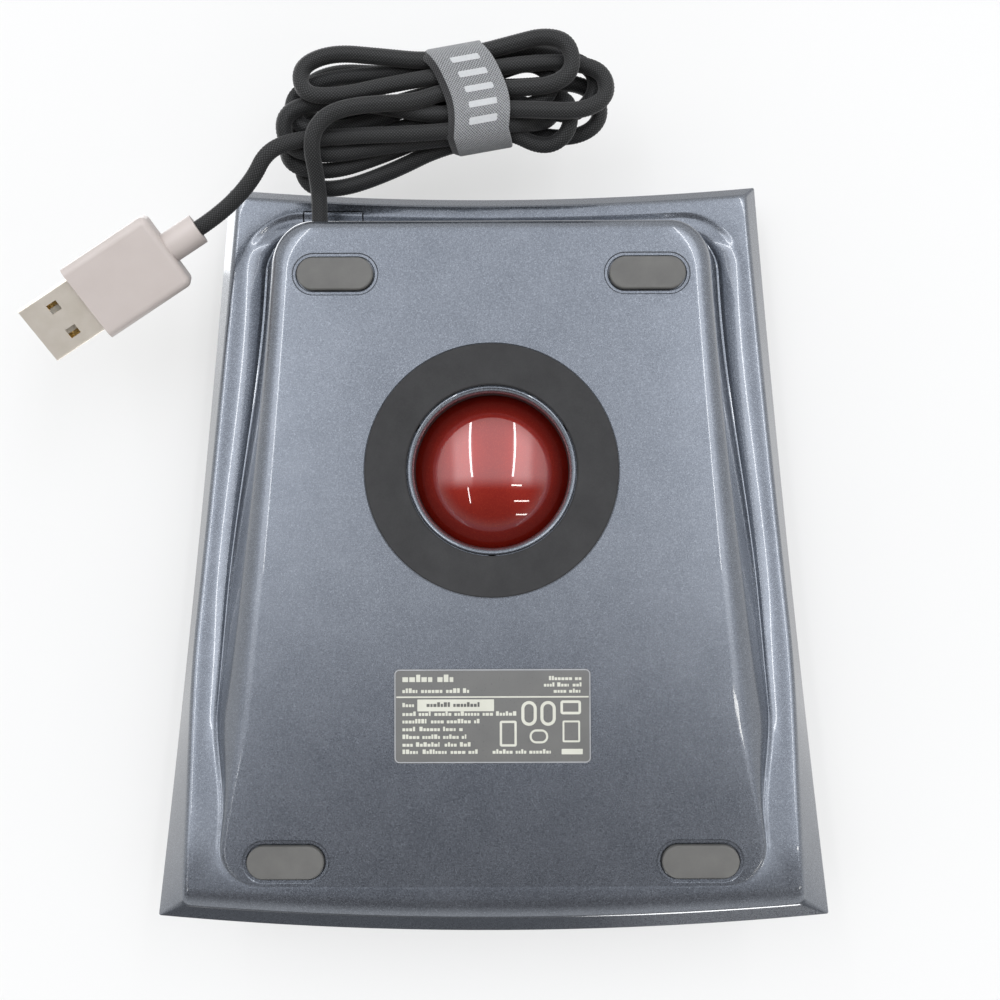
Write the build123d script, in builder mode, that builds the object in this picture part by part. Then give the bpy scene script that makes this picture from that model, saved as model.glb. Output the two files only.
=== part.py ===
"""Wired desktop trackball: a thin tilted plate on a wedge-shaped base, a 55 mm ball in the middle,
four large buttons round the ball, and a braided cord folded into a tied hank.

Frame: +Z up, feet on z = 0, +X to the user's right, +Y to the rear. Origin under the middle of the body.
All sizes in millimetres.
"""

import os
from math import cos, pi, radians, sin, tan

from build123d import *

# ---------------------------------------------------------------- driving dimensions
BODY_LENGTH = 153.0  # front edge to rear corners
REAR_HALF_WIDTH = 56.6
WAIST_HALF_WIDTH = 60.9  # at WAIST_Y, a little inside the straight line between the corners
FRONT_HALF_WIDTH = 66.6
WAIST_Y = 2.0
FRONT_CORNER_Y = -73.5
REAR_MIDDLE_Y = 74.0  # the rear edge is hollow
HALF_LENGTH = BODY_LENGTH / 2

UNDERSIDE_Z = 0.8  # the underside stands off the desk by the feet
FLOOR_Z = 3.2  # inside face of the base
WALL = 2.0
PLATE_DEPTH = 6.8  # of the plate's edge below the parting plane
EDGE_TAPER = 24.0  # undercut of the plate's edge

PART_TILT = 6.08  # tilt of the parting plane between cover and buttons
PART_Z = 15.15  # its height at Y = 0
PLATE_TILT = 7.54  # tilt of the plate's lower face
PLATE_START_Y = -59.5  # where the lower face leaves the underside
CHANNEL_TILT = 8.9  # tilt of the hollow between rim and base
CHANNEL_START_Y = -57.0
CHANNEL_INSET = 6.2
CHANNEL_CORNER = 9.0
CHANNEL_DEPTH = 5.0

BASE_FRONT = (53.7, -66.0)  # corners of the base, right-hand half
BASE_REAR = (42.2, 64.0)
BASE_HEIGHT = 26.0  # before the parting plane cuts it
BASE_DRAFT = 16.0
BASE_REAR_DRAFT = 5.0
BASE_CORNER = 8.0
BASE_EDGE = 3.0

CROWN = [  # (Y, height at the middle, height at CROWN_HALF) of the top face
    (-84.0, 10.2, 9.0),
    (-30.0, 21.0, 14.6),
    (20.0, 28.3, 20.2),
    (84.0, 30.4, 27.0),
]
CROWN_HALF = 70.0
BUTTON_WALL = 2.2
FRAME_GAP = 1.6  # between the buttons' inside and the frame
BUTTON_GAP = 1.0  # room under the buttons' edges for their travel
SEAM = 0.3  # half of the gap between two buttons

BALL_Y = 14.6
BALL_Z = 30.5
BALL_R = 27.5
CUP_IN = 28.6
CUP_OUT = 30.6
CUP_RIM = -6.5  # the cup's rim, from the ball's middle
CUP_FLANGE_R = 20.5
CUP_FLANGE_THICK = 1.6
CUP_POST = (2.6, 4.8)  # radius and height
HOLE_R = 15.3  # push-out hole under the ball
HOLE_BEVEL = 1.1
RING_IN = 16.6
RING_OUT = 25.0
RING_Z = (0.35, 1.7)
RING_FIT = 0.15  # between the grip ring and its pocket's walls
BEZEL_R = (28.2, 32.4)
BEZEL_Z = -5.7  # the bezel's seat, from the ball's middle
BEZEL_HEIGHT = 4.1

FEET = {  # name: (X, Y)
    "foot_rear_left": (-30.6, 53.2),
    "foot_rear_right": (30.6, 53.2),
    "foot_front_left": (-40.2, -61.3),
    "foot_front_right": (40.2, -61.3),
}
FOOT_LENGTH = 14.9
FOOT_WIDTH = 6.3
FOOT_POCKET_Z = 1.5
FOOT_FIT = 0.4  # the pocket's length and width over the foot's

LABEL_SIZE = (38.2, 18.2)
LABEL_Y = -33.2
LABEL_THICK = 0.15
LABEL_FIT = 0.1

SCREW_BOSS_R = 4.2  # over each foot
BOARD_BOSS_R = 2.2
BOARD_PILOT_R = 0.9
CASE_HEAD = (2.5, 1.8)  # radius and height
CASE_SHANK_R = 1.25
CASE_SHANK = {"front": 6.6, "rear": 10.0}
CUP_SCREW_RING = 18.5
CUP_HEAD = (2.0, 0.75)
CUP_SHANK = (1.0, 4.8)
BOARD_HEAD = (1.7, 1.1)
BOARD_SHANK = (0.85, 3.0)

BEARING_R = 1.5
BEARING_GAP = 0.05  # between a bearing ball and the ball
BEARING_POLAR = 62.0  # angle up from the lowest point of the cup
SENSOR_POLAR = 50.0
CUP_PAD = (3.6, 3.0)  # radius and height of the pads behind bearings and sensors
LENS_BORE_R = 2.6
LENS_STEM = (2.55, 3.5)
LENS_FLANGE = (3.2, 0.7)
SENSOR_CHIP = (8.0, 7.0, 1.2)
SENSOR_BOARD = (14.0, 10.0, 1.0)

BUTTONS = {  # name: (side, end, switch X, switch Y, hinge Y, plunger top Z)
    "front_left": (-1, -1, 26.0, -42.0, 9.5, 10.8),
    "front_right": (1, -1, 26.0, -42.0, 9.5, 10.8),
    "rear_left": (-1, 1, 20.0, 54.7, 19.7, 17.0),
    "rear_right": (1, 1, 20.0, 54.7, 19.7, 17.0),
}
BUTTON_HOLE_R = 33.0
FRAME_INSET = 2.6
FRAME_THICK = 1.8
FRAME_RING_HEIGHT = 9.0
FRAME_BORE_R = 31.2
FRAME_POST_R = 3.2
FRAME_POST_Z = 6.2
HINGE_X = 44.0
LUG_OFFSET = 5.4  # of a button's two hinge lugs each side of HINGE_X
LUG_SIZE = (3.2, 3.4)
FRAME_LUG = (5.0, 3.4, 4.2)
LUG_WINDOW = (4.6, 5.0, 12.0)
PIN_R = 0.8
PIN_LENGTH = 14.4
PIN_ABOVE = 2.4  # hinge pins above the parting plane
PIN_FIT = 0.06
POST_R = 2.2  # a button's post over its switch
POST_WINDOW_R = {-1: 5.2, 1: 4.0}  # in the frame, for the front and rear ends
POST_REST = 0.05  # between a post and its plunger
SWITCH_SIZE = (10.0, 6.0, 3.8)
PLUNGER_SIZE = (2.6, 1.4, 2.0)
PLUNGER_FIT = 0.3
PLUNGER_ROOM = 4.8  # depth of the hole over the plunger's top

FRONT_BOARD_Z = 5.0
FRONT_BOARD = (68.0, 20.0)
FRONT_BOARD_Y = -44.5
MAIN_BOARD_Z = 11.2
MAIN_BOARD = (52.0, 14.0)
MAIN_BOARD_Y = 55.0
BOARD_THICK = 1.4
BOARD_HOLE_R = 1.1
CHIP_SIZE = (8.0, 8.0, 1.1)
CHIP_Y = 54.5
HEADER_SIZE = (6.5, 6.0, 5.0)
HEADER_SPOT = (9.5, 59.0)
RIBBON_THICK = 0.6

EXIT = (35.0, 64.9, 9.5)  # where the cord leaves the rear wall
EXIT_BORE_R = 2.6
GROMMET_DEPTH = 4.2
GROMMET_FLANGE = (3.4, 1.0)
GROMMET_R = 2.55
INNER_CORD_D = 2.1
DOOR_CENTRE = (33.6, 68.6)
DOOR_SIZE = (12.4, 3.4)
DOOR_CORNER = 0.4
DOOR_FIT = 0.3
DOOR_Z = 15.5  # the door and its opening are cut from here up
DOOR_HEIGHT = 6.8
DOOR_THICK = 1.6
CORD_D = 3.35
HANK_HEIGHT = 13.6
HANK_EDGE = 2.5
TIE_CENTRE = (4.2, 90.0)
TIE_TURN = -10.0  # turn of the hank about the vertical
TIE_WIDTH = 11.0
TIE_THICK = 1.6
TIE_INSIDE = 18.4  # across the hank
TIE_CORNER = 4.8

PLUG_CENTRE = (73.0, 54.5, 6.6)
PLUG_DIRECTION = (0.832, -0.555, 0.0)  # from the cord towards the contacts
PLUG_ROLL = 24.0
PLUG_SIZE = (19.6, 16.0, 8.3)
PLUG_EDGE = 1.6
PLUG_REAR_EDGE = 1.4
SHELL_SIZE = (11.8, 12.0, 4.5)
SHELL_WALL = 0.3
SHELL_SUNK = 6.0  # length inside the grip
LATCH_HOLE = (2.2, 2.0)
LATCH_SPOT = (5.6, 2.85)  # beyond the grip, and each side of the middle
INSERT_SIZE = (SHELL_SIZE[1] - 1.1, 1.84)
CONTACT_SIZE = (1.1, 0.22)
CONTACT_SPOTS = (-3.5, -1.2, 1.2, 3.5)
NECK_R = 3.1
NECK_LENGTH = 7.0

os.makedirs("parts", exist_ok=True)

# ---------------------------------------------------------------- shared planes and shapes
tilt = radians(PART_TILT)
part_plane = Plane(origin=(0, 0, PART_Z), x_dir=(1, 0, 0), z_dir=(0, -sin(tilt), cos(tilt)))


def tilted_plane(start_y, start_z, angle):
    """Plane that rises to the rear at angle degrees, through (0, start_y, start_z)."""
    a = radians(angle)
    return Plane(origin=(0, start_y, start_z), x_dir=(1, 0, 0), z_dir=(0, -sin(a), cos(a)))


def part_z(y):
    """Height of the parting plane at y."""
    return PART_Z + y * tan(tilt)


def outline(plane, inset=0.0, corner=0.0):
    """Plan outline of the body, drawn on plane, with its sides moved in by inset."""

    def place(x, y):
        return (x, (y - plane.origin.Y) / plane.z_dir.Z)

    with BuildSketch(plane) as drawn:
        with BuildLine():
            ThreePointArc(
                place(REAR_HALF_WIDTH, HALF_LENGTH),
                place(WAIST_HALF_WIDTH, WAIST_Y),
                place(FRONT_HALF_WIDTH, FRONT_CORNER_Y),
            )
            ThreePointArc(
                place(FRONT_HALF_WIDTH, FRONT_CORNER_Y),
                place(0, -HALF_LENGTH),
                place(-FRONT_HALF_WIDTH, FRONT_CORNER_Y),
            )
            ThreePointArc(
                place(-FRONT_HALF_WIDTH, FRONT_CORNER_Y),
                place(-WAIST_HALF_WIDTH, WAIST_Y),
                place(-REAR_HALF_WIDTH, HALF_LENGTH),
            )
            ThreePointArc(
                place(-REAR_HALF_WIDTH, HALF_LENGTH),
                place(0, REAR_MIDDLE_Y),
                place(REAR_HALF_WIDTH, HALF_LENGTH),
            )
        make_face()
        if inset:
            offset(amount=-inset, kind=Kind.INTERSECTION)
        if corner:
            fillet(drawn.vertices(), corner)
    return drawn.sketch


def crown(drop):
    """Solid under the top face, with the top face lowered by drop."""
    with BuildPart() as solid:
        for y, middle, edge in CROWN:
            with BuildSketch(Plane.XZ.offset(-y)):
                with BuildLine():
                    ThreePointArc(
                        (-CROWN_HALF, edge - drop), (0, middle - drop), (CROWN_HALF, edge - drop)
                    )
                    Polyline(
                        (CROWN_HALF, edge - drop),
                        (CROWN_HALF, -10),
                        (-CROWN_HALF, -10),
                        (-CROWN_HALF, edge - drop),
                    )
                make_face()
        loft()
    return solid.part


def base_block(inset, bottom, edge):
    """Wedge base below the plate: drafted sides, steep rear wall, rounded corners and lower edge."""
    with BuildPart() as block:
        with BuildSketch(Plane.XY.offset(bottom)):
            with BuildLine():
                Polyline(
                    (BASE_FRONT[0] - inset, BASE_FRONT[1] + inset),
                    (BASE_REAR[0] - inset, BASE_REAR[1] - inset),
                    (-BASE_REAR[0] + inset, BASE_REAR[1] - inset),
                    (-BASE_FRONT[0] + inset, BASE_FRONT[1] + inset),
                    close=True,
                )
            make_face()
        extrude(amount=BASE_HEIGHT, taper=-BASE_DRAFT)
        a = radians(BASE_REAR_DRAFT)
        rear = Plane(
            origin=(0, BASE_REAR[1] - inset, bottom), x_dir=(1, 0, 0), z_dir=(0, cos(a), -sin(a))
        )
        split(bisect_by=rear, keep=Keep.BOTTOM)
        corners = block.edges().filter_by(lambda e: abs(e.tangent_at(0.5).Z) > 0.6).group_by(Axis.Y)[-1]
        fillet(corners, BASE_CORNER - inset)
        if edge:
            fillet(block.faces().sort_by(Axis.Z)[0].edges(), edge)
    return block.part


def save(builder, name):
    """Label a finished piece and write it."""
    builder.part.label = name
    export_step(builder.part, f"parts/{name}.step")


crown_top = crown(0)
crown_inner = crown(BUTTON_WALL)
crown_frame = crown(BUTTON_WALL + FRAME_GAP)
plate_plane = tilted_plane(PLATE_START_Y, UNDERSIDE_Z, PLATE_TILT)
channel_plane = tilted_plane(CHANNEL_START_Y, UNDERSIDE_Z, CHANNEL_TILT)
ball_centre = Vector(0, BALL_Y, BALL_Z)
ball_plane = Plane(origin=ball_centre, x_dir=(1, 0, 0), z_dir=part_plane.z_dir)


def cup_direction(azimuth, polar):
    """Unit direction from the ball's centre, polar degrees up from straight down."""
    a = radians(azimuth)
    p = radians(polar)
    return Vector(cos(a) * sin(p), sin(a) * sin(p), -cos(p))


def radial_plane(direction, distance):
    """Plane square to direction, at distance from the ball's centre."""
    side = Vector(0, 0, 1).cross(direction).normalized()
    return Plane(origin=ball_centre + direction * distance, x_dir=side, z_dir=direction)


bearing_directions = [cup_direction(azimuth, BEARING_POLAR) for azimuth in (90, 210, 330)]
sensor_directions = {"right": cup_direction(0, SENSOR_POLAR), "left": cup_direction(180, SENSOR_POLAR)}
cup_screw_spots = [
    (CUP_SCREW_RING * cos(radians(a)), BALL_Y + CUP_SCREW_RING * sin(radians(a))) for a in (30, 150, 270)
]
bearing_spots = [ball_centre + d * (BALL_R + BEARING_R + BEARING_GAP) for d in bearing_directions]
main_board_spots = [(x, y) for x in (-23.0, 23.0) for y in (50.0, 60.0)]
front_board_spots = [(x, y) for x in (-31.0, 31.0) for y in (-52.5, -36.5)]

# ---------------------------------------------------------------- bottom cover
with BuildPart() as bottom_cover:
    # plate with its undercut edge
    add(outline(part_plane))
    extrude(amount=PLATE_DEPTH, dir=-part_plane.z_dir, taper=EDGE_TAPER)
    split(bisect_by=plate_plane, keep=Keep.TOP)
    split(bisect_by=Plane.XY.offset(UNDERSIDE_Z), keep=Keep.TOP)
    # hollow between the rim and the base
    with BuildPart(mode=Mode.PRIVATE) as channel:
        add(outline(channel_plane, CHANNEL_INSET, CHANNEL_CORNER))
        extrude(amount=CHANNEL_DEPTH, dir=-channel_plane.z_dir, taper=-45)
    add(channel.part, mode=Mode.SUBTRACT)
    # base
    with BuildPart(mode=Mode.PRIVATE) as base:
        add(base_block(0, UNDERSIDE_Z, BASE_EDGE))
        split(bisect_by=part_plane, keep=Keep.BOTTOM)
    add(base.part)
    # inside
    with BuildPart(mode=Mode.PRIVATE) as room:
        add(outline(part_plane, WALL))
        extrude(amount=PLATE_DEPTH - 0.3, dir=-part_plane.z_dir, taper=EDGE_TAPER)
        split(bisect_by=channel_plane.offset(WALL), keep=Keep.TOP)
        split(bisect_by=Plane.XY.offset(FLOOR_Z), keep=Keep.TOP)
    add(room.part, mode=Mode.SUBTRACT)
    with BuildPart(mode=Mode.PRIVATE) as base_room:
        add(base_block(WALL, FLOOR_Z, 0))
        split(bisect_by=part_plane, keep=Keep.BOTTOM)
    add(base_room.part, mode=Mode.SUBTRACT)
    # bosses for the case screws and the boards
    for spots, radius, top in (
        (FEET.values(), SCREW_BOSS_R, FLOOR_Z + 2.8),
        (main_board_spots, BOARD_BOSS_R, MAIN_BOARD_Z),
        (front_board_spots, BOARD_BOSS_R, FRONT_BOARD_Z),
    ):
        with BuildSketch(Plane.XY.offset(FLOOR_Z - 0.5)):
            with Locations(*spots):
                Circle(radius)
        extrude(amount=top - FLOOR_Z + 0.5)
    for spots, bottom, depth in (
        (main_board_spots, MAIN_BOARD_Z - 5, 5),
        (front_board_spots, FLOOR_Z - 0.6, 3),
    ):
        with BuildSketch(Plane.XY.offset(bottom)):
            with Locations(*spots):
                Circle(BOARD_PILOT_R)
        extrude(amount=depth, mode=Mode.SUBTRACT)
    # push-out hole, grip ring pocket and bevel
    with BuildSketch(Plane.XY):
        with Locations((0, BALL_Y)):
            Circle(HOLE_R)
    extrude(amount=FLOOR_Z + 1, mode=Mode.SUBTRACT)
    with BuildSketch(Plane.XY):
        with Locations((0, BALL_Y)):
            Circle(RING_OUT)
            Circle(RING_IN, mode=Mode.SUBTRACT)
    extrude(amount=RING_Z[1], mode=Mode.SUBTRACT)
    with BuildSketch(Plane.XZ.offset(-BALL_Y)):
        with BuildLine():
            Polyline(
                (HOLE_R - 0.2, UNDERSIDE_Z - 0.1),
                (HOLE_R + HOLE_BEVEL, UNDERSIDE_Z - 0.1),
                (HOLE_R - 0.2, UNDERSIDE_Z + 1.5),
                close=True,
            )
        make_face()
    revolve(axis=Axis((0, BALL_Y, 0), (0, 0, 1)), mode=Mode.SUBTRACT)
    # foot pockets and case screw holes
    with BuildSketch(Plane.XY):
        with Locations(*FEET.values()):
            SlotOverall(FOOT_LENGTH + FOOT_FIT, FOOT_WIDTH + FOOT_FIT)
    extrude(amount=FOOT_POCKET_Z, mode=Mode.SUBTRACT)
    for radius, depth in ((CASE_HEAD[0] + 0.2, 3.4), (CASE_SHANK_R + 0.2, 7)):
        with BuildSketch(Plane.XY):
            with Locations(*FEET.values()):
                Circle(radius)
        extrude(amount=depth, mode=Mode.SUBTRACT)
    # cup screw holes under the grip ring
    for bottom, radius, depth in (
        (RING_Z[1] - 0.1, CUP_HEAD[0] + 0.1, CUP_HEAD[1] + 0.1),
        (RING_Z[1], CUP_SHANK[0] + 0.1, 2),
    ):
        with BuildSketch(Plane.XY.offset(bottom)):
            with Locations(*cup_screw_spots):
                Circle(radius)
        extrude(amount=depth, mode=Mode.SUBTRACT)
    # label recess
    with BuildSketch(Plane.XY.offset(UNDERSIDE_Z - 0.05)):
        with Locations((0, LABEL_Y)):
            RectangleRounded(LABEL_SIZE[0] + LABEL_FIT, LABEL_SIZE[1] + LABEL_FIT, 1.0)
    extrude(amount=0.05 + LABEL_THICK, mode=Mode.SUBTRACT)
    # cord hole in the rear wall, and the opening of the cable door
    with BuildSketch(Plane.XZ.offset(-(EXIT[1] - 6))):
        with Locations((EXIT[0], EXIT[2])):
            Circle(EXIT_BORE_R)
    extrude(amount=-9, mode=Mode.SUBTRACT)
    with BuildSketch(Plane.XY.offset(DOOR_Z)):
        with Locations(DOOR_CENTRE):
            RectangleRounded(DOOR_SIZE[0] + DOOR_FIT, DOOR_SIZE[1] + DOOR_FIT, DOOR_CORNER + 0.1)
    extrude(amount=DOOR_HEIGHT, mode=Mode.SUBTRACT)
save(bottom_cover, "bottom_cover")

with BuildPart() as cable_exit_cover:
    with BuildSketch(Plane.XY.offset(DOOR_Z)):
        with Locations(DOOR_CENTRE):
            RectangleRounded(*DOOR_SIZE, DOOR_CORNER)
    extrude(amount=DOOR_HEIGHT)
    split(bisect_by=channel_plane, keep=Keep.TOP)
    split(bisect_by=channel_plane.offset(DOOR_THICK), keep=Keep.BOTTOM)
save(cable_exit_cover, "cable_exit_cover")

grommet_plane = Plane.XZ.offset(-(EXIT[1] - GROMMET_DEPTH))

with BuildPart() as cable_grommet:
    for radius, depth in (GROMMET_FLANGE, (GROMMET_R, GROMMET_DEPTH)):
        with BuildSketch(grommet_plane):
            with Locations((EXIT[0], EXIT[2])):
                Circle(radius)
        extrude(amount=-depth)
    with BuildSketch(grommet_plane):
        with Locations((EXIT[0], EXIT[2])):
            Circle(INNER_CORD_D / 2 + 0.05)
    extrude(amount=-3.0, mode=Mode.SUBTRACT)
save(cable_grommet, "cable_grommet")

with BuildPart() as ring_pad:
    with BuildSketch(Plane.XY.offset(RING_Z[0])):
        with Locations((0, BALL_Y)):
            Circle(RING_OUT - RING_FIT)
            Circle(RING_IN + RING_FIT, mode=Mode.SUBTRACT)
    extrude(amount=RING_Z[1] - RING_Z[0])
    chamfer(ring_pad.edges().group_by(Axis.Z)[0], 0.25)
save(ring_pad, "ring_pad")

for foot_name, foot_spot in FEET.items():
    with BuildPart() as foot:
        with BuildSketch():
            with Locations(foot_spot):
                SlotOverall(FOOT_LENGTH, FOOT_WIDTH)
        extrude(amount=FOOT_POCKET_Z)
        chamfer(foot.edges().group_by(Axis.Z)[0], 0.2)
    save(foot, foot_name)

with BuildPart() as rating_label:
    with BuildSketch(Plane.XY.offset(UNDERSIDE_Z)):
        with Locations((0, LABEL_Y)):
            RectangleRounded(*LABEL_SIZE, 0.95)
    extrude(amount=LABEL_THICK)
save(rating_label, "rating_label")

# ---------------------------------------------------------------- ball, cup and bearings
with BuildPart() as ball:
    with Locations(ball_centre):
        Sphere(BALL_R)
save(ball, "ball")

with BuildPart() as ball_cup:
    with Locations(ball_centre):
        Sphere(CUP_OUT)
    split(bisect_by=ball_plane.offset(CUP_RIM), keep=Keep.BOTTOM)
    for direction in bearing_directions + list(sensor_directions.values()):
        with BuildSketch(radial_plane(direction, CUP_IN + 0.5)):
            Circle(CUP_PAD[0])
        extrude(amount=CUP_PAD[1])
    with BuildSketch(Plane.XY.offset(FLOOR_Z)):
        with Locations((0, BALL_Y)):
            Circle(CUP_FLANGE_R)
    extrude(amount=CUP_FLANGE_THICK)
    with BuildSketch(Plane.XY.offset(FLOOR_Z)):
        with Locations(*cup_screw_spots):
            Circle(CUP_POST[0])
    extrude(amount=CUP_POST[1])
    split(bisect_by=Plane.XY.offset(FLOOR_Z), keep=Keep.TOP)
    with Locations(ball_centre):
        Sphere(CUP_IN, mode=Mode.SUBTRACT)
    with BuildSketch(Plane.XY):
        with Locations((0, BALL_Y)):
            Circle(HOLE_R)
    extrude(amount=9, mode=Mode.SUBTRACT)
    with BuildSketch(Plane.XY.offset(FLOOR_Z - 1)):
        with Locations(*cup_screw_spots):
            Circle(CUP_SHANK[0] + 0.05)
    extrude(amount=4.5, mode=Mode.SUBTRACT)
    with Locations(*bearing_spots):
        Sphere(BEARING_R, mode=Mode.SUBTRACT)
    for direction in sensor_directions.values():
        with BuildSketch(radial_plane(direction, CUP_IN - 2)):
            Circle(LENS_BORE_R)
        extrude(amount=8, mode=Mode.SUBTRACT)
save(ball_cup, "ball_cup")

with BuildPart() as bearing_balls:
    with Locations(*bearing_spots):
        Sphere(BEARING_R)
save(bearing_balls, "bearing_balls")

with BuildPart() as cup_screws:
    for radius, length in (CUP_HEAD, CUP_SHANK):
        with BuildSketch(Plane.XY.offset(RING_Z[1])):
            with Locations(*cup_screw_spots):
                Circle(radius)
        extrude(amount=length)
save(cup_screws, "cup_screws")

lens_start = CUP_IN + 0.1
flange_start = lens_start + LENS_STEM[1] - 0.05
chip_start = flange_start + LENS_FLANGE[1] + 0.05
for side_name, direction in sensor_directions.items():
    with BuildPart() as sensor_lens:
        for start, (radius, height) in ((lens_start, LENS_STEM), (flange_start, LENS_FLANGE)):
            with BuildSketch(radial_plane(direction, start)):
                Circle(radius)
            extrude(amount=height)
    save(sensor_lens, f"sensor_lens_{side_name}")
    with BuildPart() as sensor_chip:
        with BuildSketch(radial_plane(direction, chip_start)):
            RectangleRounded(*SENSOR_CHIP[:2], 0.5)
        extrude(amount=SENSOR_CHIP[2])
    save(sensor_chip, f"sensor_chip_{side_name}")
    with BuildPart() as sensor_board:
        with BuildSketch(radial_plane(direction, chip_start + SENSOR_CHIP[2])):
            Rectangle(*SENSOR_BOARD[:2])
        extrude(amount=SENSOR_BOARD[2])
    save(sensor_board, f"sensor_board_{side_name}")

# ---------------------------------------------------------------- top frame and bezel
with BuildPart() as top_frame:
    add(outline(part_plane, FRAME_INSET))
    extrude(amount=FRAME_THICK)
    with BuildSketch(part_plane):
        with Locations(tuple(part_plane.to_local_coords(ball_centre))[:2]):
            Circle(BEZEL_R[1])
    extrude(amount=FRAME_RING_HEIGHT)
    with Locations(*[(x, y, FRAME_POST_Z) for x, y in FEET.values()]):
        Cylinder(FRAME_POST_R, 20, align=(Align.CENTER, Align.CENTER, Align.MIN))
    add(crown_frame, mode=Mode.INTERSECT)
    split(bisect_by=ball_plane.offset(BEZEL_Z), keep=Keep.BOTTOM)
    with BuildSketch(ball_plane.offset(-30)):
        Circle(FRAME_BORE_R)
    extrude(amount=40, mode=Mode.SUBTRACT)
    for side, end, switch_x, switch_y, hinge_y, top_z in BUTTONS.values():
        pin_z = part_z(hinge_y) + PIN_ABOVE
        # lug for the hinge pin
        with Locations((side * HINGE_X, hinge_y, pin_z - 0.8)):
            Box(*FRAME_LUG)
        # windows under the buttons' lugs and posts
        with Locations(*[(side * (HINGE_X + away), hinge_y, pin_z) for away in (-LUG_OFFSET, LUG_OFFSET)]):
            Box(*LUG_WINDOW, mode=Mode.SUBTRACT)
        with Locations((side * switch_x, switch_y, top_z)):
            Cylinder(POST_WINDOW_R[end], 14, mode=Mode.SUBTRACT)
        with Locations((side * HINGE_X, hinge_y, pin_z)):
            Cylinder(PIN_R, 20, rotation=(0, 90, 0), mode=Mode.SUBTRACT)
    with Locations(*[(x, y, 5) for x, y in FEET.values()]):
        Cylinder(CASE_SHANK_R + 0.05, 20, mode=Mode.SUBTRACT)
save(top_frame, "top_frame")

with BuildPart() as ball_bezel:
    with BuildSketch(ball_plane.offset(BEZEL_Z)):
        Circle(BEZEL_R[1])
        Circle(BEZEL_R[0], mode=Mode.SUBTRACT)
    extrude(amount=BEZEL_HEIGHT)
    fillet(ball_bezel.faces().filter_by(GeomType.PLANE).sort_by(Axis.Z)[-1].edges(), 0.9)
save(ball_bezel, "ball_bezel")

with BuildPart() as case_screws:
    for x, y in FEET.values():
        shank = CASE_SHANK["rear" if y > 0 else "front"]
        for radius, length in (CASE_HEAD, (CASE_SHANK_R, shank)):
            with Locations((x, y, FOOT_POCKET_Z)):
                Cylinder(radius, length, align=(Align.CENTER, Align.CENTER, Align.MIN))
save(case_screws, "case_screws")

# ---------------------------------------------------------------- electronics
for board_name, board_z, board_y, board_size, spots in (
    ("main_board", MAIN_BOARD_Z, MAIN_BOARD_Y, MAIN_BOARD, main_board_spots),
    ("front_board", FRONT_BOARD_Z, FRONT_BOARD_Y, FRONT_BOARD, front_board_spots),
):
    with BuildPart() as board:
        with BuildSketch(Plane.XY.offset(board_z)):
            with Locations((0, board_y)):
                RectangleRounded(*board_size, 1)
            with Locations(*spots):
                Circle(BOARD_HOLE_R, mode=Mode.SUBTRACT)
        extrude(amount=BOARD_THICK)
    save(board, board_name)

with BuildPart() as board_screws:
    for board_z, spots in ((MAIN_BOARD_Z, main_board_spots), (FRONT_BOARD_Z, front_board_spots)):
        with Locations(*[(x, y, board_z + BOARD_THICK) for x, y in spots]):
            Cylinder(*BOARD_HEAD, align=(Align.CENTER, Align.CENTER, Align.MIN))
            Cylinder(*BOARD_SHANK, align=(Align.CENTER, Align.CENTER, Align.MAX))
save(board_screws, "board_screws")

with BuildPart() as controller_chip:
    with Locations((0, CHIP_Y, MAIN_BOARD_Z + BOARD_THICK)):
        Box(*CHIP_SIZE, align=(Align.CENTER, Align.CENTER, Align.MIN))
    chamfer(controller_chip.edges().group_by(Axis.Z)[-1], 0.2)
save(controller_chip, "controller_chip")

with BuildPart() as cable_header:
    with Locations((*HEADER_SPOT, MAIN_BOARD_Z + BOARD_THICK)):
        Box(*HEADER_SIZE, align=(Align.CENTER, Align.CENTER, Align.MIN))
save(cable_header, "cable_header")

with BuildPart() as board_link_cable:
    with BuildSketch(Plane.XY.offset(FRONT_BOARD_Z + BOARD_THICK)):
        with BuildLine():
            FilletPolyline((-16, 49.5), (-35.0, 36), (-37.5, -14), (-26, -35.2), radius=6)
        trace(line_width=RIBBON_THICK)
    extrude(amount=MAIN_BOARD_Z - FRONT_BOARD_Z - BOARD_THICK)
save(board_link_cable, "board_link_cable")

# ---------------------------------------------------------------- switches and buttons
plunger_hole = (PLUNGER_SIZE[0] + PLUNGER_FIT, PLUNGER_SIZE[1] + PLUNGER_FIT)

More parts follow.
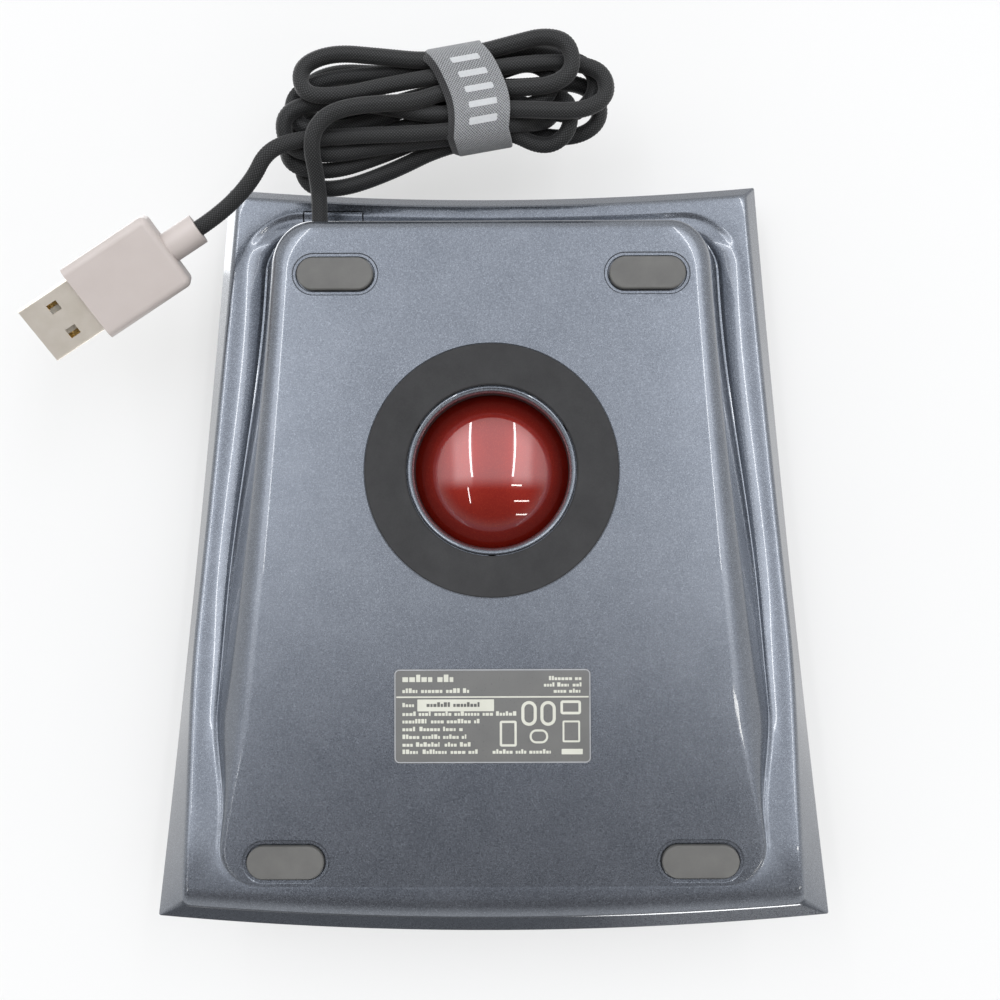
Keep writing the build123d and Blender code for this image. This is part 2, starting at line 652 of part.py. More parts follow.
for button_name, (side, end, switch_x, switch_y, hinge_y, top_z) in BUTTONS.items():
    board_top = (FRONT_BOARD_Z if end < 0 else MAIN_BOARD_Z) + BOARD_THICK
    spot_x = side * switch_x
    with BuildPart() as switch_body:
        with Locations((spot_x, switch_y, board_top)):
            Box(*SWITCH_SIZE, align=(Align.CENTER, Align.CENTER, Align.MIN))
        chamfer(switch_body.edges().group_by(Axis.Z)[-1], 0.3)
        with Locations((spot_x, switch_y, board_top + SWITCH_SIZE[2])):
            Box(*plunger_hole, PLUNGER_ROOM, mode=Mode.SUBTRACT)
    save(switch_body, f"switch_{button_name}")

    with BuildPart() as plunger:
        with Locations((spot_x, switch_y, top_z)):
            Box(*PLUNGER_SIZE, align=(Align.CENTER, Align.CENTER, Align.MAX))
        fillet(plunger.edges().group_by(Axis.Z)[-1], 0.15)
    save(plunger, f"plunger_{button_name}")

    pin_z = part_z(hinge_y) + PIN_ABOVE
    with BuildPart() as button:
        # quarter of the plan, clear of the seams and of the ring round the ball
        with BuildPart(mode=Mode.PRIVATE) as quarter:
            add(outline(part_plane.offset(BUTTON_GAP)))
            extrude(amount=24)
            add(crown_top, mode=Mode.INTERSECT)
        add(quarter.part)
        with BuildPart(mode=Mode.PRIVATE) as inside:
            add(outline(part_plane.offset(-2), WALL))
            extrude(amount=30)
            add(crown_inner, mode=Mode.INTERSECT)
        add(inside.part, mode=Mode.SUBTRACT)
        with BuildPart(mode=Mode.PRIVATE) as quadrant:
            with Locations((side * (SEAM + 50), BALL_Y + end * (SEAM + 50), 20)):
                Box(100, 100, 60)
        add(quadrant.part, mode=Mode.INTERSECT)
        with BuildSketch(ball_plane.offset(-30)):
            Circle(BUTTON_HOLE_R)
        extrude(amount=40, mode=Mode.SUBTRACT)
        # post over the switch and two hinge lugs, cut to the underside of the top face
        with BuildPart(mode=Mode.PRIVATE) as fittings:
            with Locations((spot_x, switch_y, top_z + POST_REST)):
                Cylinder(POST_R, 20, align=(Align.CENTER, Align.CENTER, Align.MIN))
            for away in (-LUG_OFFSET, LUG_OFFSET):
                with Locations((side * (HINGE_X + away), hinge_y, pin_z - LUG_SIZE[1] / 2)):
                    Box(*LUG_SIZE, 12, align=(Align.CENTER, Align.CENTER, Align.MIN))
            add(crown(BUTTON_WALL / 2), mode=Mode.INTERSECT)
        add(fittings.part)
        with Locations((side * HINGE_X, hinge_y, pin_z)):
            Cylinder(PIN_R + PIN_FIT, 20, rotation=(0, 90, 0), mode=Mode.SUBTRACT)
    save(button, f"button_{button_name}")

with BuildPart() as button_hinge_pins:
    for side, end, switch_x, switch_y, hinge_y, top_z in BUTTONS.values():
        with Locations((side * HINGE_X, hinge_y, part_z(hinge_y) + PIN_ABOVE)):
            Cylinder(PIN_R, PIN_LENGTH, rotation=(0, 90, 0))
save(button_hinge_pins, "button_hinge_pins")

# ---------------------------------------------------------------- cord, hank, tie and plug


def corner_radii(points, share=0.45):
    """Arc radius at each corner: share of the shorter run over the tangent of half the turn."""
    radii = []
    for before, at, after in zip(points, points[1:], points[2:]):
        first = Vector(*at) - Vector(*before)
        second = Vector(*after) - Vector(*at)
        turn = first.get_angle(second)
        radii.append(share * min(first.length, second.length) / tan(radians(turn / 2)))
    return radii


def route(points):
    """Straight runs joined by tangent arcs."""
    return FilletPolyline(*points, radius=corner_radii(points))


lead_points = [EXIT, (35.0, 70.4, 9.5), (35.3, 75.0, 6.6), (35.7, 78.4, 3.4)]
tail_points = [(44.6, 78.0, 2.6), (47.6, 72.8, 4.2)]
inner_points = [
    (EXIT[0], EXIT[1] - GROMMET_DEPTH, EXIT[2]),
    (34.8, 58.2, 11.2),
    (30.6, 59.3, 14.6),
    (22.6, 60.0, 16.2),
    (12.75, 59.2, 15.6),
]

axis = Vector(*PLUG_DIRECTION).normalized()
across = Vector(0, 0, 1).cross(axis)
roll = radians(PLUG_ROLL)
plug_up = Vector(0, 0, 1) * cos(roll) + across * sin(roll)


def plug_plane(along):
    """Plane square to the plug's length, at a distance from the middle of its grip."""
    return Plane(
        origin=Vector(*PLUG_CENTRE) + axis * along,
        x_dir=plug_up.cross(axis) * -1,
        z_dir=axis,
    )


neck_end = Vector(*PLUG_CENTRE) - axis * (PLUG_SIZE[0] / 2 + NECK_LENGTH)
tail_points.append(tuple(neck_end - axis * 6.0))
tail_points.append(tuple(neck_end))

for cord_name, cord_points, cord_d in (
    ("cord_lead", lead_points, CORD_D),
    ("cord_tail", tail_points, CORD_D),
    ("cable_inner_lead", inner_points, INNER_CORD_D),
):
    radii = corner_radii(cord_points)
    with BuildPart() as cord:
        with BuildLine():
            cord_path = route(cord_points)
        with BuildSketch(Plane(origin=cord_path @ 0, z_dir=cord_path % 0)):
            Circle(cord_d / 2)
        sweep(path=cord_path)
    expected = pi * cord_d**2 / 4 * cord_path.length
    print(cord_name, "length", round(cord_path.length, 2), "radii", [round(r, 1) for r in radii])
    print("   volume", round(cord.part.volume, 2), "section times length", round(expected, 2))
    save(cord, cord_name)

tie_plane = Plane(origin=(*TIE_CENTRE, 0), x_dir=(1, 0, 0), z_dir=(0, 0, 1)).rotated((0, 0, TIE_TURN))
tie_section = Plane(
    origin=(*TIE_CENTRE, HANK_HEIGHT / 2),
    x_dir=tie_plane.y_dir,
    z_dir=tie_plane.x_dir,
)

tie_room = (TIE_INSIDE, HANK_HEIGHT - 2 * TIE_THICK)

with BuildPart() as cord_hank:
    with BuildSketch() as hank_plan:
        with BuildLine():
            Polyline(
                (45.6, 76.0),
                (46.4, 85.5),
                (41.0, 97.0),
                (33.0, 99.2),
                (11.0, 98.8),
                (-2.0, 101.6),
                (-8.0, 103.0),
                (-15.0, 101.0),
                (-25.8, 94.0),
                (-24.0, 86.5),
                (-14.5, 80.2),
                (-5.0, 80.8),
                (9.0, 78.2),
                (27.0, 74.5),
                close=True,
            )
        make_face()
        fillet(hank_plan.vertices(), HANK_EDGE)
    extrude(amount=HANK_HEIGHT)
    fillet(cord_hank.edges().group_by(Axis.Z)[-1], HANK_EDGE)
    # waist where the tie goes round
    with BuildSketch(tie_plane):
        Rectangle(TIE_WIDTH + 1.0, 40)
    extrude(amount=20, mode=Mode.SUBTRACT)
    with BuildSketch(tie_section):
        RectangleRounded(*tie_room, TIE_CORNER)
    extrude(amount=TIE_WIDTH / 2 + 1.2, both=True)
save(cord_hank, "cord_hank")

with BuildPart() as cable_tie:
    with BuildSketch(tie_section):
        RectangleRounded(TIE_INSIDE + 2 * TIE_THICK, HANK_HEIGHT, TIE_CORNER + TIE_THICK - 0.1)
        RectangleRounded(*tie_room, TIE_CORNER, mode=Mode.SUBTRACT)
    extrude(amount=TIE_WIDTH / 2, both=True)
save(cable_tie, "cable_tie")

grip_end = PLUG_SIZE[0] / 2  # from the middle of the grip to each of its ends
shell_inside = (SHELL_SIZE[1] - 2 * SHELL_WALL, SHELL_SIZE[2] - 2 * SHELL_WALL)
insert_y = -shell_inside[1] / 2 + INSERT_SIZE[1] / 2 + 0.03
contact_y = insert_y + INSERT_SIZE[1] / 2 + CONTACT_SIZE[1] / 2 + 0.01

with BuildPart() as plug_overmold:
    with BuildSketch(plug_plane(-grip_end)):
        RectangleRounded(PLUG_SIZE[1], PLUG_SIZE[2], PLUG_EDGE)
    extrude(amount=PLUG_SIZE[0])
    rear_face = plug_overmold.faces().sort_by(Axis(PLUG_CENTRE, axis))[0]
    fillet(rear_face.edges(), PLUG_REAR_EDGE)
    with BuildSketch(plug_plane(-grip_end - NECK_LENGTH)):
        Circle(NECK_R)
    extrude(amount=NECK_LENGTH + 2)
    with BuildSketch(plug_plane(grip_end - SHELL_SUNK)):
        Rectangle(SHELL_SIZE[1], SHELL_SIZE[2])
    extrude(amount=SHELL_SUNK, mode=Mode.SUBTRACT)
save(plug_overmold, "plug_overmold")

with BuildPart() as plug_shell:
    with BuildSketch(plug_plane(grip_end - SHELL_SUNK)):
        RectangleRounded(SHELL_SIZE[1], SHELL_SIZE[2], 0.4)
        RectangleRounded(*shell_inside, 0.2, mode=Mode.SUBTRACT)
    extrude(amount=SHELL_SIZE[0] + SHELL_SUNK)
    # two latch holes in each broad side
    latch_plane = Plane(
        origin=Vector(*PLUG_CENTRE) + axis * (grip_end + LATCH_SPOT[0]),
        x_dir=axis,
        z_dir=plug_up,
    )
    with BuildSketch(latch_plane.offset(-4)):
        with Locations((0, LATCH_SPOT[1]), (0, -LATCH_SPOT[1])):
            Rectangle(*LATCH_HOLE)
    extrude(amount=8, mode=Mode.SUBTRACT)
save(plug_shell, "plug_shell")

with BuildPart() as plug_insert:
    with BuildSketch(plug_plane(grip_end - SHELL_SUNK)):
        with Locations((0, insert_y)):
            Rectangle(*INSERT_SIZE)
    extrude(amount=SHELL_SIZE[0] + SHELL_SUNK - 0.4)
save(plug_insert, "plug_insert")

with BuildPart() as plug_contacts:
    with BuildSketch(plug_plane(grip_end - 4)):
        with Locations(*[(x, contact_y) for x in CONTACT_SPOTS]):
            Rectangle(*CONTACT_SIZE)
    extrude(amount=SHELL_SIZE[0] + 2)
save(plug_contacts, "plug_contacts")
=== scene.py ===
"""Looks of a wired desktop trackball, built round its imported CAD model. Shapes are worked out in millimetres
and turned to metres where a mesh is made. The camera is below the object and sees its underside."""

import math

import bmesh
import bpy
import numpy as np
from mathutils import Matrix, Vector


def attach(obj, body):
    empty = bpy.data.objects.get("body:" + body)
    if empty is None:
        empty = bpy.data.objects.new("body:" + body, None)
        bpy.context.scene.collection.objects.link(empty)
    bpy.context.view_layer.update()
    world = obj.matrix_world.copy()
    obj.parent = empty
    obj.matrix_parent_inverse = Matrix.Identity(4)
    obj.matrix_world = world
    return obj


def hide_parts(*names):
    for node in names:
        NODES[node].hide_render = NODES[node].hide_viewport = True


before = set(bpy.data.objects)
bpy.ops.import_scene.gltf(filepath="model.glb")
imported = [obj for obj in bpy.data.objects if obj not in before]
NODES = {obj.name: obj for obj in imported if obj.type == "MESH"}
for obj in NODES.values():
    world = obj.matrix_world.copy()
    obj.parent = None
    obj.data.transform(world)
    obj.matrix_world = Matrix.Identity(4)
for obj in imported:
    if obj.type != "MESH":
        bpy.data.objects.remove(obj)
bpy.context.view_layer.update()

MM = 0.001

# ---------------------------------------------------------------- sizes shared with the CAD model, in mm
HALF_LENGTH = 76.5
REAR_HALF = 56.6
REAR_MIDDLE_Y = 74.0
WAIST = (60.9, 2.0)
FRONT_CORNER = (66.6, -73.5)
PART_Z = 15.15
PART_SLOPE = math.tan(math.radians(6.08))
UNDERSIDE_Z = 0.8
FLOOR_Z = 3.2
PLATE_START_Y = -59.5
PLATE_SLOPE = math.tan(math.radians(7.54))
BASE_SIDE = ((42.2, 64.0), (47.2, 0.0), (53.8, -66.0))  # half width of the base at three places
BASE_FRONT_Y = -66.0
BASE_REAR_Y = 64.0
SIDE_DRAFT = math.tan(math.radians(16.0))
REAR_DRAFT = math.tan(math.radians(6.0))
BALL_Y = 14.6
HOLE_R = 15.3
RING_IN = 16.6
RING_OUT = 25.0
RING_DEPTH_Z = 1.7
FOOT_SIZE = (14.9, 6.3)
FEET = {
    "foot_rear_left": (-30.6, 53.2),
    "foot_rear_right": (30.6, 53.2),
    "foot_front_left": (-40.2, -61.3),
    "foot_front_right": (40.2, -61.3),
}
LABEL_CENTRE = (0.0, -33.2)
LABEL_SIZE = (38.2, 18.2)
DOOR_CENTRE = (33.6, 68.6)
DOOR_SIZE = (12.4, 3.4)
CORD_D = 3.35
EXIT = (35.0, 64.9, 9.5)
TIE_CENTRE = (4.2, 90.0)
TIE_TURN = math.radians(-10.0)
TIE_INSIDE = 18.4  # width of the space inside the tie
TIE_THICK = 1.6
TIE_WIDTH = 11.0
HANK_HEIGHT = 13.6


# ---------------------------------------------------------------- small helpers
def make_piece(name, points, faces, smooth=None, uv=None):
    """Object from points in mm. smooth is the angle in degrees above which an edge stays sharp."""
    mesh = bpy.data.meshes.new(name)
    corners = [tuple(float(c) * MM for c in p) for p in points]
    mesh.from_pydata(corners, [], [tuple(map(int, f)) for f in faces])
    if uv is not None:
        layer = mesh.uv_layers.new(name="UVMap")
        index = np.zeros(len(mesh.loops), np.int32)
        mesh.loops.foreach_get("vertex_index", index)
        layer.data.foreach_set("uv", np.asarray(uv, np.float32)[index].ravel())
    piece = add_object(name, mesh)
    turn_outwards(piece)
    shade(piece, smooth)
    return piece


def add_object(name, data):
    """Object in the scene that holds a mesh, curve, light or camera."""
    made = bpy.data.objects.new(name, data)
    bpy.context.scene.collection.objects.link(made)
    return made


def turn_outwards(piece):
    """Turns the faces of a closed mesh outwards."""
    b = bmesh.new()
    b.from_mesh(piece.data)
    bmesh.ops.recalc_face_normals(b, faces=b.faces)
    b.to_mesh(piece.data)
    b.free()


def shade(piece, smooth):
    """Smooth shading with edges above that angle kept sharp, or flat shading for None."""
    piece.data.polygons.foreach_set("use_smooth", [smooth is not None] * len(piece.data.polygons))
    if smooth is not None:
        piece.data.set_sharp_from_angle(angle=math.radians(smooth))


def apply_modifiers(piece):
    """The mesh as its modifiers leave it becomes the piece's own."""
    graph = bpy.context.evaluated_depsgraph_get()
    mesh = bpy.data.meshes.new_from_object(piece.evaluated_get(graph))
    piece.modifiers.clear()
    piece.data = mesh


def finish_piece(piece, material, replaces=()):
    """Material, the housing's body and the CAD nodes that a piece of the housing stands for."""
    paint_with(piece, material)
    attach(piece, "housing")
    if replaces:
        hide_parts(*replaces)
    return piece


def paint_with(piece, material):
    piece.data.materials.clear()
    piece.data.materials.append(material)


def bevelled(piece, width, angle, segments=3):
    """A bevel modifier, in mm, on the edges sharper than angle."""
    m = piece.modifiers.new("edge", "BEVEL")
    m.width = width * MM
    m.segments = segments
    m.limit_method = "ANGLE"
    m.angle_limit = math.radians(angle)
    m.harden_normals = False
    m.use_clamp_overlap = True
    return piece


# ---------------------------------------------------------------- surfaces through rings
def loft(rings):
    """Points and quads of a surface through closed rings that have the same number of points."""
    count = len(rings[0])
    points = np.concatenate([np.asarray(r, float) for r in rings])
    faces = []
    for k in range(len(rings) - 1):
        for i in range(count):
            j = (i + 1) % count
            faces.append((k * count + i, k * count + j, (k + 1) * count + j, (k + 1) * count + i))
    return points, faces


def capped_loft(rings):
    """Closed surface through rings with a flat cap at each end."""
    points, faces = loft(rings)
    count = len(rings[0])
    faces.append(tuple(range(count))[::-1])
    faces.append(tuple(range(len(points) - count, len(points))))
    return points, faces


def looped_loft(rings):
    """Closed surface through rings and from the last back to the first."""
    points, faces = loft([*rings, rings[0]])
    kept = len(points) - len(rings[0])
    return points[:kept], [tuple(i % kept for i in face) for face in faces]


def join_surfaces(surfaces):
    """Points and faces of several surfaces as one."""
    points, faces, start = [], [], 0
    for p, f in surfaces:
        points.append(p)
        faces += [tuple(i + start for i in face) for face in f]
        start += len(p)
    return np.concatenate(points), faces


def at_height(plan, z):
    """Plan ring at one height, or each of its points at its own."""
    return np.column_stack([plan[:, :2], np.broadcast_to(z, len(plan))])


def turned(profile, steps=160):
    """Closed surface of a closed (r, z) profile turned about the ball's axis, its zero radii made small."""
    a = np.linspace(0, math.tau, steps, endpoint=False)
    circle = np.column_stack([np.cos(a), np.sin(a)])
    return looped_loft([at_height(np.array([0.0, BALL_Y]) + max(r, 0.01) * circle, z) for r, z in profile])


def slot_ring(centre, length, width, z, steps=24):
    """Stadium outline at height z."""
    r, straight = width / 2, (length - width) / 2
    points = []
    for side, start in ((1, -math.pi / 2), (-1, math.pi / 2)):
        for a in start + np.linspace(0, math.pi, steps + 1):
            points.append((centre[0] + side * straight + r * math.cos(a), centre[1] + r * math.sin(a), z))
    return np.array(points)


def box_ring(centre, size, corner, z, steps=6):
    """Rounded rectangle at height z."""
    half = (size[0] / 2 - corner, size[1] / 2 - corner)
    points = []
    for k, (sx, sy) in enumerate(((1, 1), (-1, 1), (-1, -1), (1, -1))):
        for a in (k + np.linspace(0, 1, steps + 1)) * math.pi / 2:
            x = centre[0] + sx * half[0] + corner * math.cos(a)
            y = centre[1] + sy * half[1] + corner * math.sin(a)
            points.append((x, y, z))
    return np.array(points)


def evenly(line, spacing):
    """The same line with evenly spaced points, and the length run to each."""
    steps = np.linalg.norm(np.diff(line, axis=0), axis=1)
    run = np.concatenate([[0.0], np.cumsum(steps)])
    at = np.linspace(0.0, run[-1], int(run[-1] / spacing) + 1)
    return np.column_stack([np.interp(at, run, column) for column in line.T]), at


# ---------------------------------------------------------------- materials
NOISE_SPAN = (0.3, 0.7)  # nearly all of a noise's values lie between these


class Tree:
    """Short ways to add nodes to a node tree."""

    def __init__(self, tree):
        self.tree = tree

    def put(self, node, socket, value):
        """Value or link into one input."""
        target = node.inputs[socket]
        if isinstance(value, bpy.types.NodeSocket):
            self.tree.links.new(value, target)
        elif isinstance(value, tuple) and len(value) == 3 and target.type == "RGBA":
            target.default_value = (*value, 1.0)
        else:
            target.default_value = value

    def node(self, kind, inputs=None, **settings):
        """New node with its settings and inputs."""
        made = self.tree.nodes.new(kind)
        for key, value in settings.items():
            setattr(made, key, value)
        for key, value in (inputs or {}).items():
            self.put(made, key, value)
        return made

    def span(self, value, low, high, to_low=0.0, to_high=1.0, **settings):
        """Value with low to high spread over to_low to to_high."""
        ends = {"From Min": low, "From Max": high, "To Min": to_low, "To Max": to_high}
        return self.node("ShaderNodeMapRange", {"Value": value, **ends}, **settings).outputs["Result"]

    def math(self, operation, a, b=0.0):
        return self.node("ShaderNodeMath", {0: a, 1: b}, operation=operation).outputs[0]

    def mix(self, share, a, b, blend="MIX"):
        """Mix of two colours: a at a share of 0 and b at 1."""
        made = self.node("ShaderNodeMix", data_type="RGBA", blend_type=blend)
        for socket, value in ((0, share), (6, a), (7, b)):
            self.put(made, socket, value)
        return made.outputs[2]


class Look(Tree):
    """A material's node tree and its principled shader."""

    def __init__(self, name, **sockets):
        self.material = bpy.data.materials.new(name)
        self.material.use_nodes = True
        super().__init__(self.material.node_tree)
        self.shader = self.tree.nodes["Principled BSDF"]
        for key, value in sockets.items():
            self.put(self.shader, key.replace("_", " "), value)

    def place(self):
        """Object coordinates, in metres."""
        return self.node("ShaderNodeTexCoord").outputs["Object"]

    def uv(self):
        return self.node("ShaderNodeTexCoord").outputs["UV"]

    def noise(self, size, detail=3.0, roughness=0.5, vector=None):
        """Noise whose blotches are about size mm."""
        inputs = {"Vector": vector or self.place(), "Scale": 1.0 / (size * MM)}
        inputs |= {"Detail": detail, "Roughness": roughness}
        return self.node("ShaderNodeTexNoise", inputs).outputs["Fac"]

    def flakes(self, size, channel):
        """One random value for each cell of about size mm."""
        cells = self.node("ShaderNodeTexVoronoi", {"Vector": self.place(), "Scale": 1.0 / (size * MM)})
        return self.node("ShaderNodeSeparateColor", {"Color": cells.outputs["Color"]}).outputs[channel]

    def ramp(self, value, *stops):
        """Colour ramp with stops (place, colour)."""
        made = self.node("ShaderNodeValToRGB", {"Fac": value})
        elements = made.color_ramp.elements
        while len(elements) < len(stops):
            elements.new(1.0)
        for element, (at, colour) in zip(elements, stops):
            element.position = at
            element.color = (*colour, 1.0) if isinstance(colour, tuple) else (colour, colour, colour, 1.0)
        return made.outputs["Color"]

    def clouded(self, noise, first, second):
        """Mix of two colours by a noise."""
        return self.mix(self.span(noise, *NOISE_SPAN), first, second)

    def bump(self, height, depth, strength):
        """Bump of a height from 0 to 1, depth mm deep, on the shader."""
        made = self.node("ShaderNodeBump", {"Height": height, "Distance": depth * MM, "Strength": strength})
        self.put(self.shader, "Normal", made.outputs["Normal"])

    def colour(self, value):
        self.put(self.shader, "Base Color", value)

    def rough(self, value):
        self.put(self.shader, "Roughness", value)

    def rough_by(self, noise, low, high):
        """Roughness between two values by a noise."""
        self.rough(self.span(noise, *NOISE_SPAN, low, high))


def metallic_paint(name, dark, light, flake):
    """Metallic paint under a clear coat: very fine flake, cloudy tone and a faint orange peel."""
    look = Look(name, Metallic=0.78, Coat_Weight=1.0, Coat_Roughness=0.04, Coat_IOR=1.5)
    tone = look.flakes(0.11, "Red")
    coarse = look.flakes(0.2, "Green")
    sparkle = look.ramp(tone, (0.0, 0.0), (0.55, 0.15), (0.9, 0.5), (1.0, 0.9))
    glint = look.ramp(coarse, (0.0, 0.0), (0.9, 0.0), (1.0, 0.7))
    base = look.clouded(look.noise(9.0, 2.0), dark, light)
    speckled = look.mix(look.math("MULTIPLY", sparkle, 0.45), base, flake)
    look.colour(look.mix(look.math("MULTIPLY", glint, 0.3), speckled, flake))
    look.rough(look.span(tone, 0.0, 1.0, 0.24, 0.36))
    look.bump(look.noise(0.22, 2.0), 0.008, 0.3)
    return look.material


def moulded(name, colour, light, roughness, size=0.35, depth=0.01, **sockets):
    """Moulded plastic with a fine texture and slight tone changes."""
    look = Look(name, **sockets)
    look.colour(look.clouded(look.noise(6.0, 4.0), colour, light))
    grain = look.noise(size, 3.0, 0.6)
    look.rough_by(grain, roughness - 0.06, roughness + 0.06)
    look.bump(grain, depth, 0.5)
    return look.material


def red_ball():
    """Deep red pearl resin under gloss."""
    gloss = {"Coat_Weight": 1.0, "Coat_Roughness": 0.02, "Coat_IOR": 1.85}
    look = Look("ball_red", Metallic=0.45, Specular_IOR_Level=0.12, **gloss)
    flake = look.flakes(0.12, "Green")
    deep = look.clouded(look.noise(14.0, 3.0, 0.5), (0.235, 0.0105, 0.0060), (0.285, 0.0145, 0.0085))
    spark = look.ramp(flake, (0.0, 0.0), (0.75, 0.12), (1.0, 1.0))
    look.colour(look.mix(look.math("MULTIPLY", spark, 0.22), deep, (0.62, 0.08, 0.03)))
    look.rough(look.span(flake, 0.0, 1.0, 0.30, 0.42))
    return look.material


def rubber(name, dark, light, roughness=0.78):
    """Matt rubber with dust in its grain."""
    look = Look(name, Specular_IOR_Level=0.35)
    dust = look.ramp(look.noise(0.5, 5.0, 0.7), (0.0, 0.0), (0.66, 0.0), (0.74, 1.0))
    base = look.clouded(look.noise(7.0, 6.0, 0.65), dark, light)
    look.colour(look.mix(look.math("MULTIPLY", dust, 0.22), base, (0.16, 0.16, 0.155)))
    grain = look.noise(0.25, 3.0, 0.6)
    look.rough_by(grain, roughness - 0.08, roughness + 0.08)
    look.bump(grain, 0.02, 0.6)
    return look.material


def metal(name, colour, worn, roughness, stretch=(1.0, 1.0, 1.0)):
    """Bare metal with fine drawn lines and slight tarnish."""
    look = Look(name, Metallic=1.0)
    lines = look.node("ShaderNodeMapping", {"Vector": look.place(), "Scale": stretch}).outputs["Vector"]
    drawn = look.noise(0.12, 3.0, 0.6, lines)
    look.colour(look.mix(look.span(look.noise(3.5, 3.0), 0.35, 0.7), colour, worn))
    look.rough_by(drawn, roughness - 0.04, roughness + 0.05)
    look.bump(drawn, 0.0015, 0.3)
    return look.material


def board_look():
    """Green solder mask with traces and pads."""
    look = Look("circuit_board", Specular_IOR_Level=0.5, Coat_Weight=0.4, Coat_Roughness=0.15)
    colours = {"Color1": (0.01, 0.09, 0.04), "Color2": (0.012, 0.11, 0.05), "Mortar": (0.05, 0.22, 0.10)}
    sizes = {"Vector": look.place(), "Scale": 120.0, "Mortar Size": 0.012}
    brick = look.node("ShaderNodeTexBrick", {**sizes, **colours})
    look.colour(brick.outputs["Color"])
    look.rough_by(look.noise(1.0), 0.3, 0.45)
    look.bump(brick.outputs["Fac"], 0.03, 0.4)
    return look.material


BRAID_STRANDS = 8  # yarns in each of the braid's two sets
THREAD_PITCH = 0.575  # one over-and-under of the tie's weave, in mm


def braid_look():
    """Black braided sleeve: two bias sets of flat yarns, each showing its filaments where it lies on top. Its
    colour carries a painted highlight on the yarns' crests and painted shade in the valleys between them.
    """
    look = Look("braid", Specular_IOR_Level=0.35, Sheen_Weight=0.2, Sheen_Roughness=0.45)
    uv = look.node("ShaderNodeSeparateXYZ", {"Vector": look.uv()})
    along, around = uv.outputs["Y"], uv.outputs["X"]
    yarn, filament = [], []
    for sign in (1.0, -1.0):
        phase = look.math("ADD", along, look.math("MULTIPLY", around, sign * BRAID_STRANDS * math.tau))
        yarn.append(look.math("SINE", phase))
        filament.append(look.math("SINE", look.math("MULTIPLY", phase, 3.0)))
    over = look.span(look.math("MULTIPLY", yarn[0], yarn[1]), -1.0, 1.0)
    first_on_top = look.span(over, 0.42, 0.58)
    lines = look.mix(first_on_top, filament[0], filament[1])
    crest = look.math("ABSOLUTE", look.span(over, 0.0, 1.0, -1.0, 1.0))
    # painted highlight and painted shade: the colour runs from near black in the valleys to lighter on the
    # yarns' crests
    light = look.ramp(crest, (0.0, 0.004), (0.35, 0.012), (0.8, 0.036), (1.0, 0.058))
    fine = look.span(lines, -1.0, 1.0, 0.62, 1.25)
    dust = look.ramp(look.noise(0.3, 4.0, 0.7), (0.0, 0.6), (0.6, 1.0), (0.75, 1.6))
    painted_crest_light = look.mix(1.0, light, (0.98, 1.0, 1.02), "MULTIPLY")
    look.colour(look.mix(1.0, look.mix(1.0, painted_crest_light, fine, "MULTIPLY"), dust, "MULTIPLY"))
    look.rough(look.span(crest, 0.0, 1.0, 0.7, 0.48))
    height = look.math("ADD", look.math("MULTIPLY", crest, 0.8), look.math("MULTIPLY", lines, 0.1))
    look.bump(height, 0.07, 0.7)
    return look.material


def woven_look(name, dark, light):
    """Woven tape: fine over-and-under threads, with fluff."""
    look = Look(name, Specular_IOR_Level=0.25, Sheen_Weight=0.3, Sheen_Roughness=0.5)
    scale = math.tau / THREAD_PITCH
    uv = look.node("ShaderNodeSeparateXYZ", {"Vector": look.uv()})
    warp = look.math("SINE", look.math("MULTIPLY", uv.outputs["X"], scale))
    weft = look.math("SINE", look.math("MULTIPLY", uv.outputs["Y"], scale))
    weave = look.span(look.math("MULTIPLY", warp, weft), -1.0, 1.0)
    speck = look.noise(0.35, 4.0, 0.7)
    share = look.span(look.math("ADD", weave, speck), 0.5, 1.4)
    look.colour(look.mix(share, dark, light))
    look.rough_by(speck, 0.75, 0.95)
    look.bump(weave, 0.14, 0.9)
    return look.material


PAINT = metallic_paint("housing_paint", (0.105, 0.118, 0.142), (0.128, 0.142, 0.168), (0.46, 0.50, 0.56))
BEZEL = moulded("bezel_gloss", (0.035, 0.037, 0.042), (0.045, 0.047, 0.052), 0.22, Coat_Weight=0.6)
BLACK = moulded("inner_black", (0.018, 0.018, 0.019), (0.026, 0.026, 0.028), 0.5)
RED = red_ball()
CERAMIC = moulded("ceramic_white", (0.72, 0.71, 0.68), (0.80, 0.79, 0.76), 0.2)
GRIP = rubber("grip_rubber_black", (0.030, 0.030, 0.031), (0.043, 0.043, 0.044))
PAD = rubber("foot_pad_grey", (0.112, 0.111, 0.106), (0.150, 0.148, 0.140), 0.5)
STEEL = metal("screw_steel", (0.55, 0.55, 0.56), (0.42, 0.42, 0.43), 0.3)
BOARD = board_look()
CHIP = moulded("chip_black", (0.02, 0.02, 0.02), (0.03, 0.03, 0.03), 0.45)
LENS = moulded("lens_clear", (0.75, 0.78, 0.80), (0.82, 0.85, 0.87), 0.1, Transmission_Weight=0.85, IOR=1.49)
CONNECTOR = moulded("connector_white", (0.70, 0.68, 0.62), (0.76, 0.74, 0.68), 0.4)
RIBBON = moulded("ribbon_grey", (0.45, 0.45, 0.46), (0.52, 0.52, 0.53), 0.5)
BRAID = braid_look()
SHEATH = moulded("inner_sheath", (0.02, 0.02, 0.02), (0.03, 0.03, 0.03), 0.5)
TIE = woven_look("tie_weave_grey", (0.07, 0.072, 0.076), (0.40, 0.41, 0.42))
TIE_EDGE = woven_look("tie_edge_dark", (0.012, 0.012, 0.013), (0.05, 0.05, 0.052))
TIE_MARK = woven_look("tie_mark_pale", (0.42, 0.43, 0.44), (0.66, 0.67, 0.68))
GREIGE = moulded("plug_greige", (0.545, 0.485, 0.455), (0.575, 0.515, 0.485), 0.40, 0.2, 0.006)
PLUG_METAL = metal("plug_nickel", (0.93, 0.87, 0.78), (0.86, 0.80, 0.70), 0.42, (1.0, 1.0, 0.2))
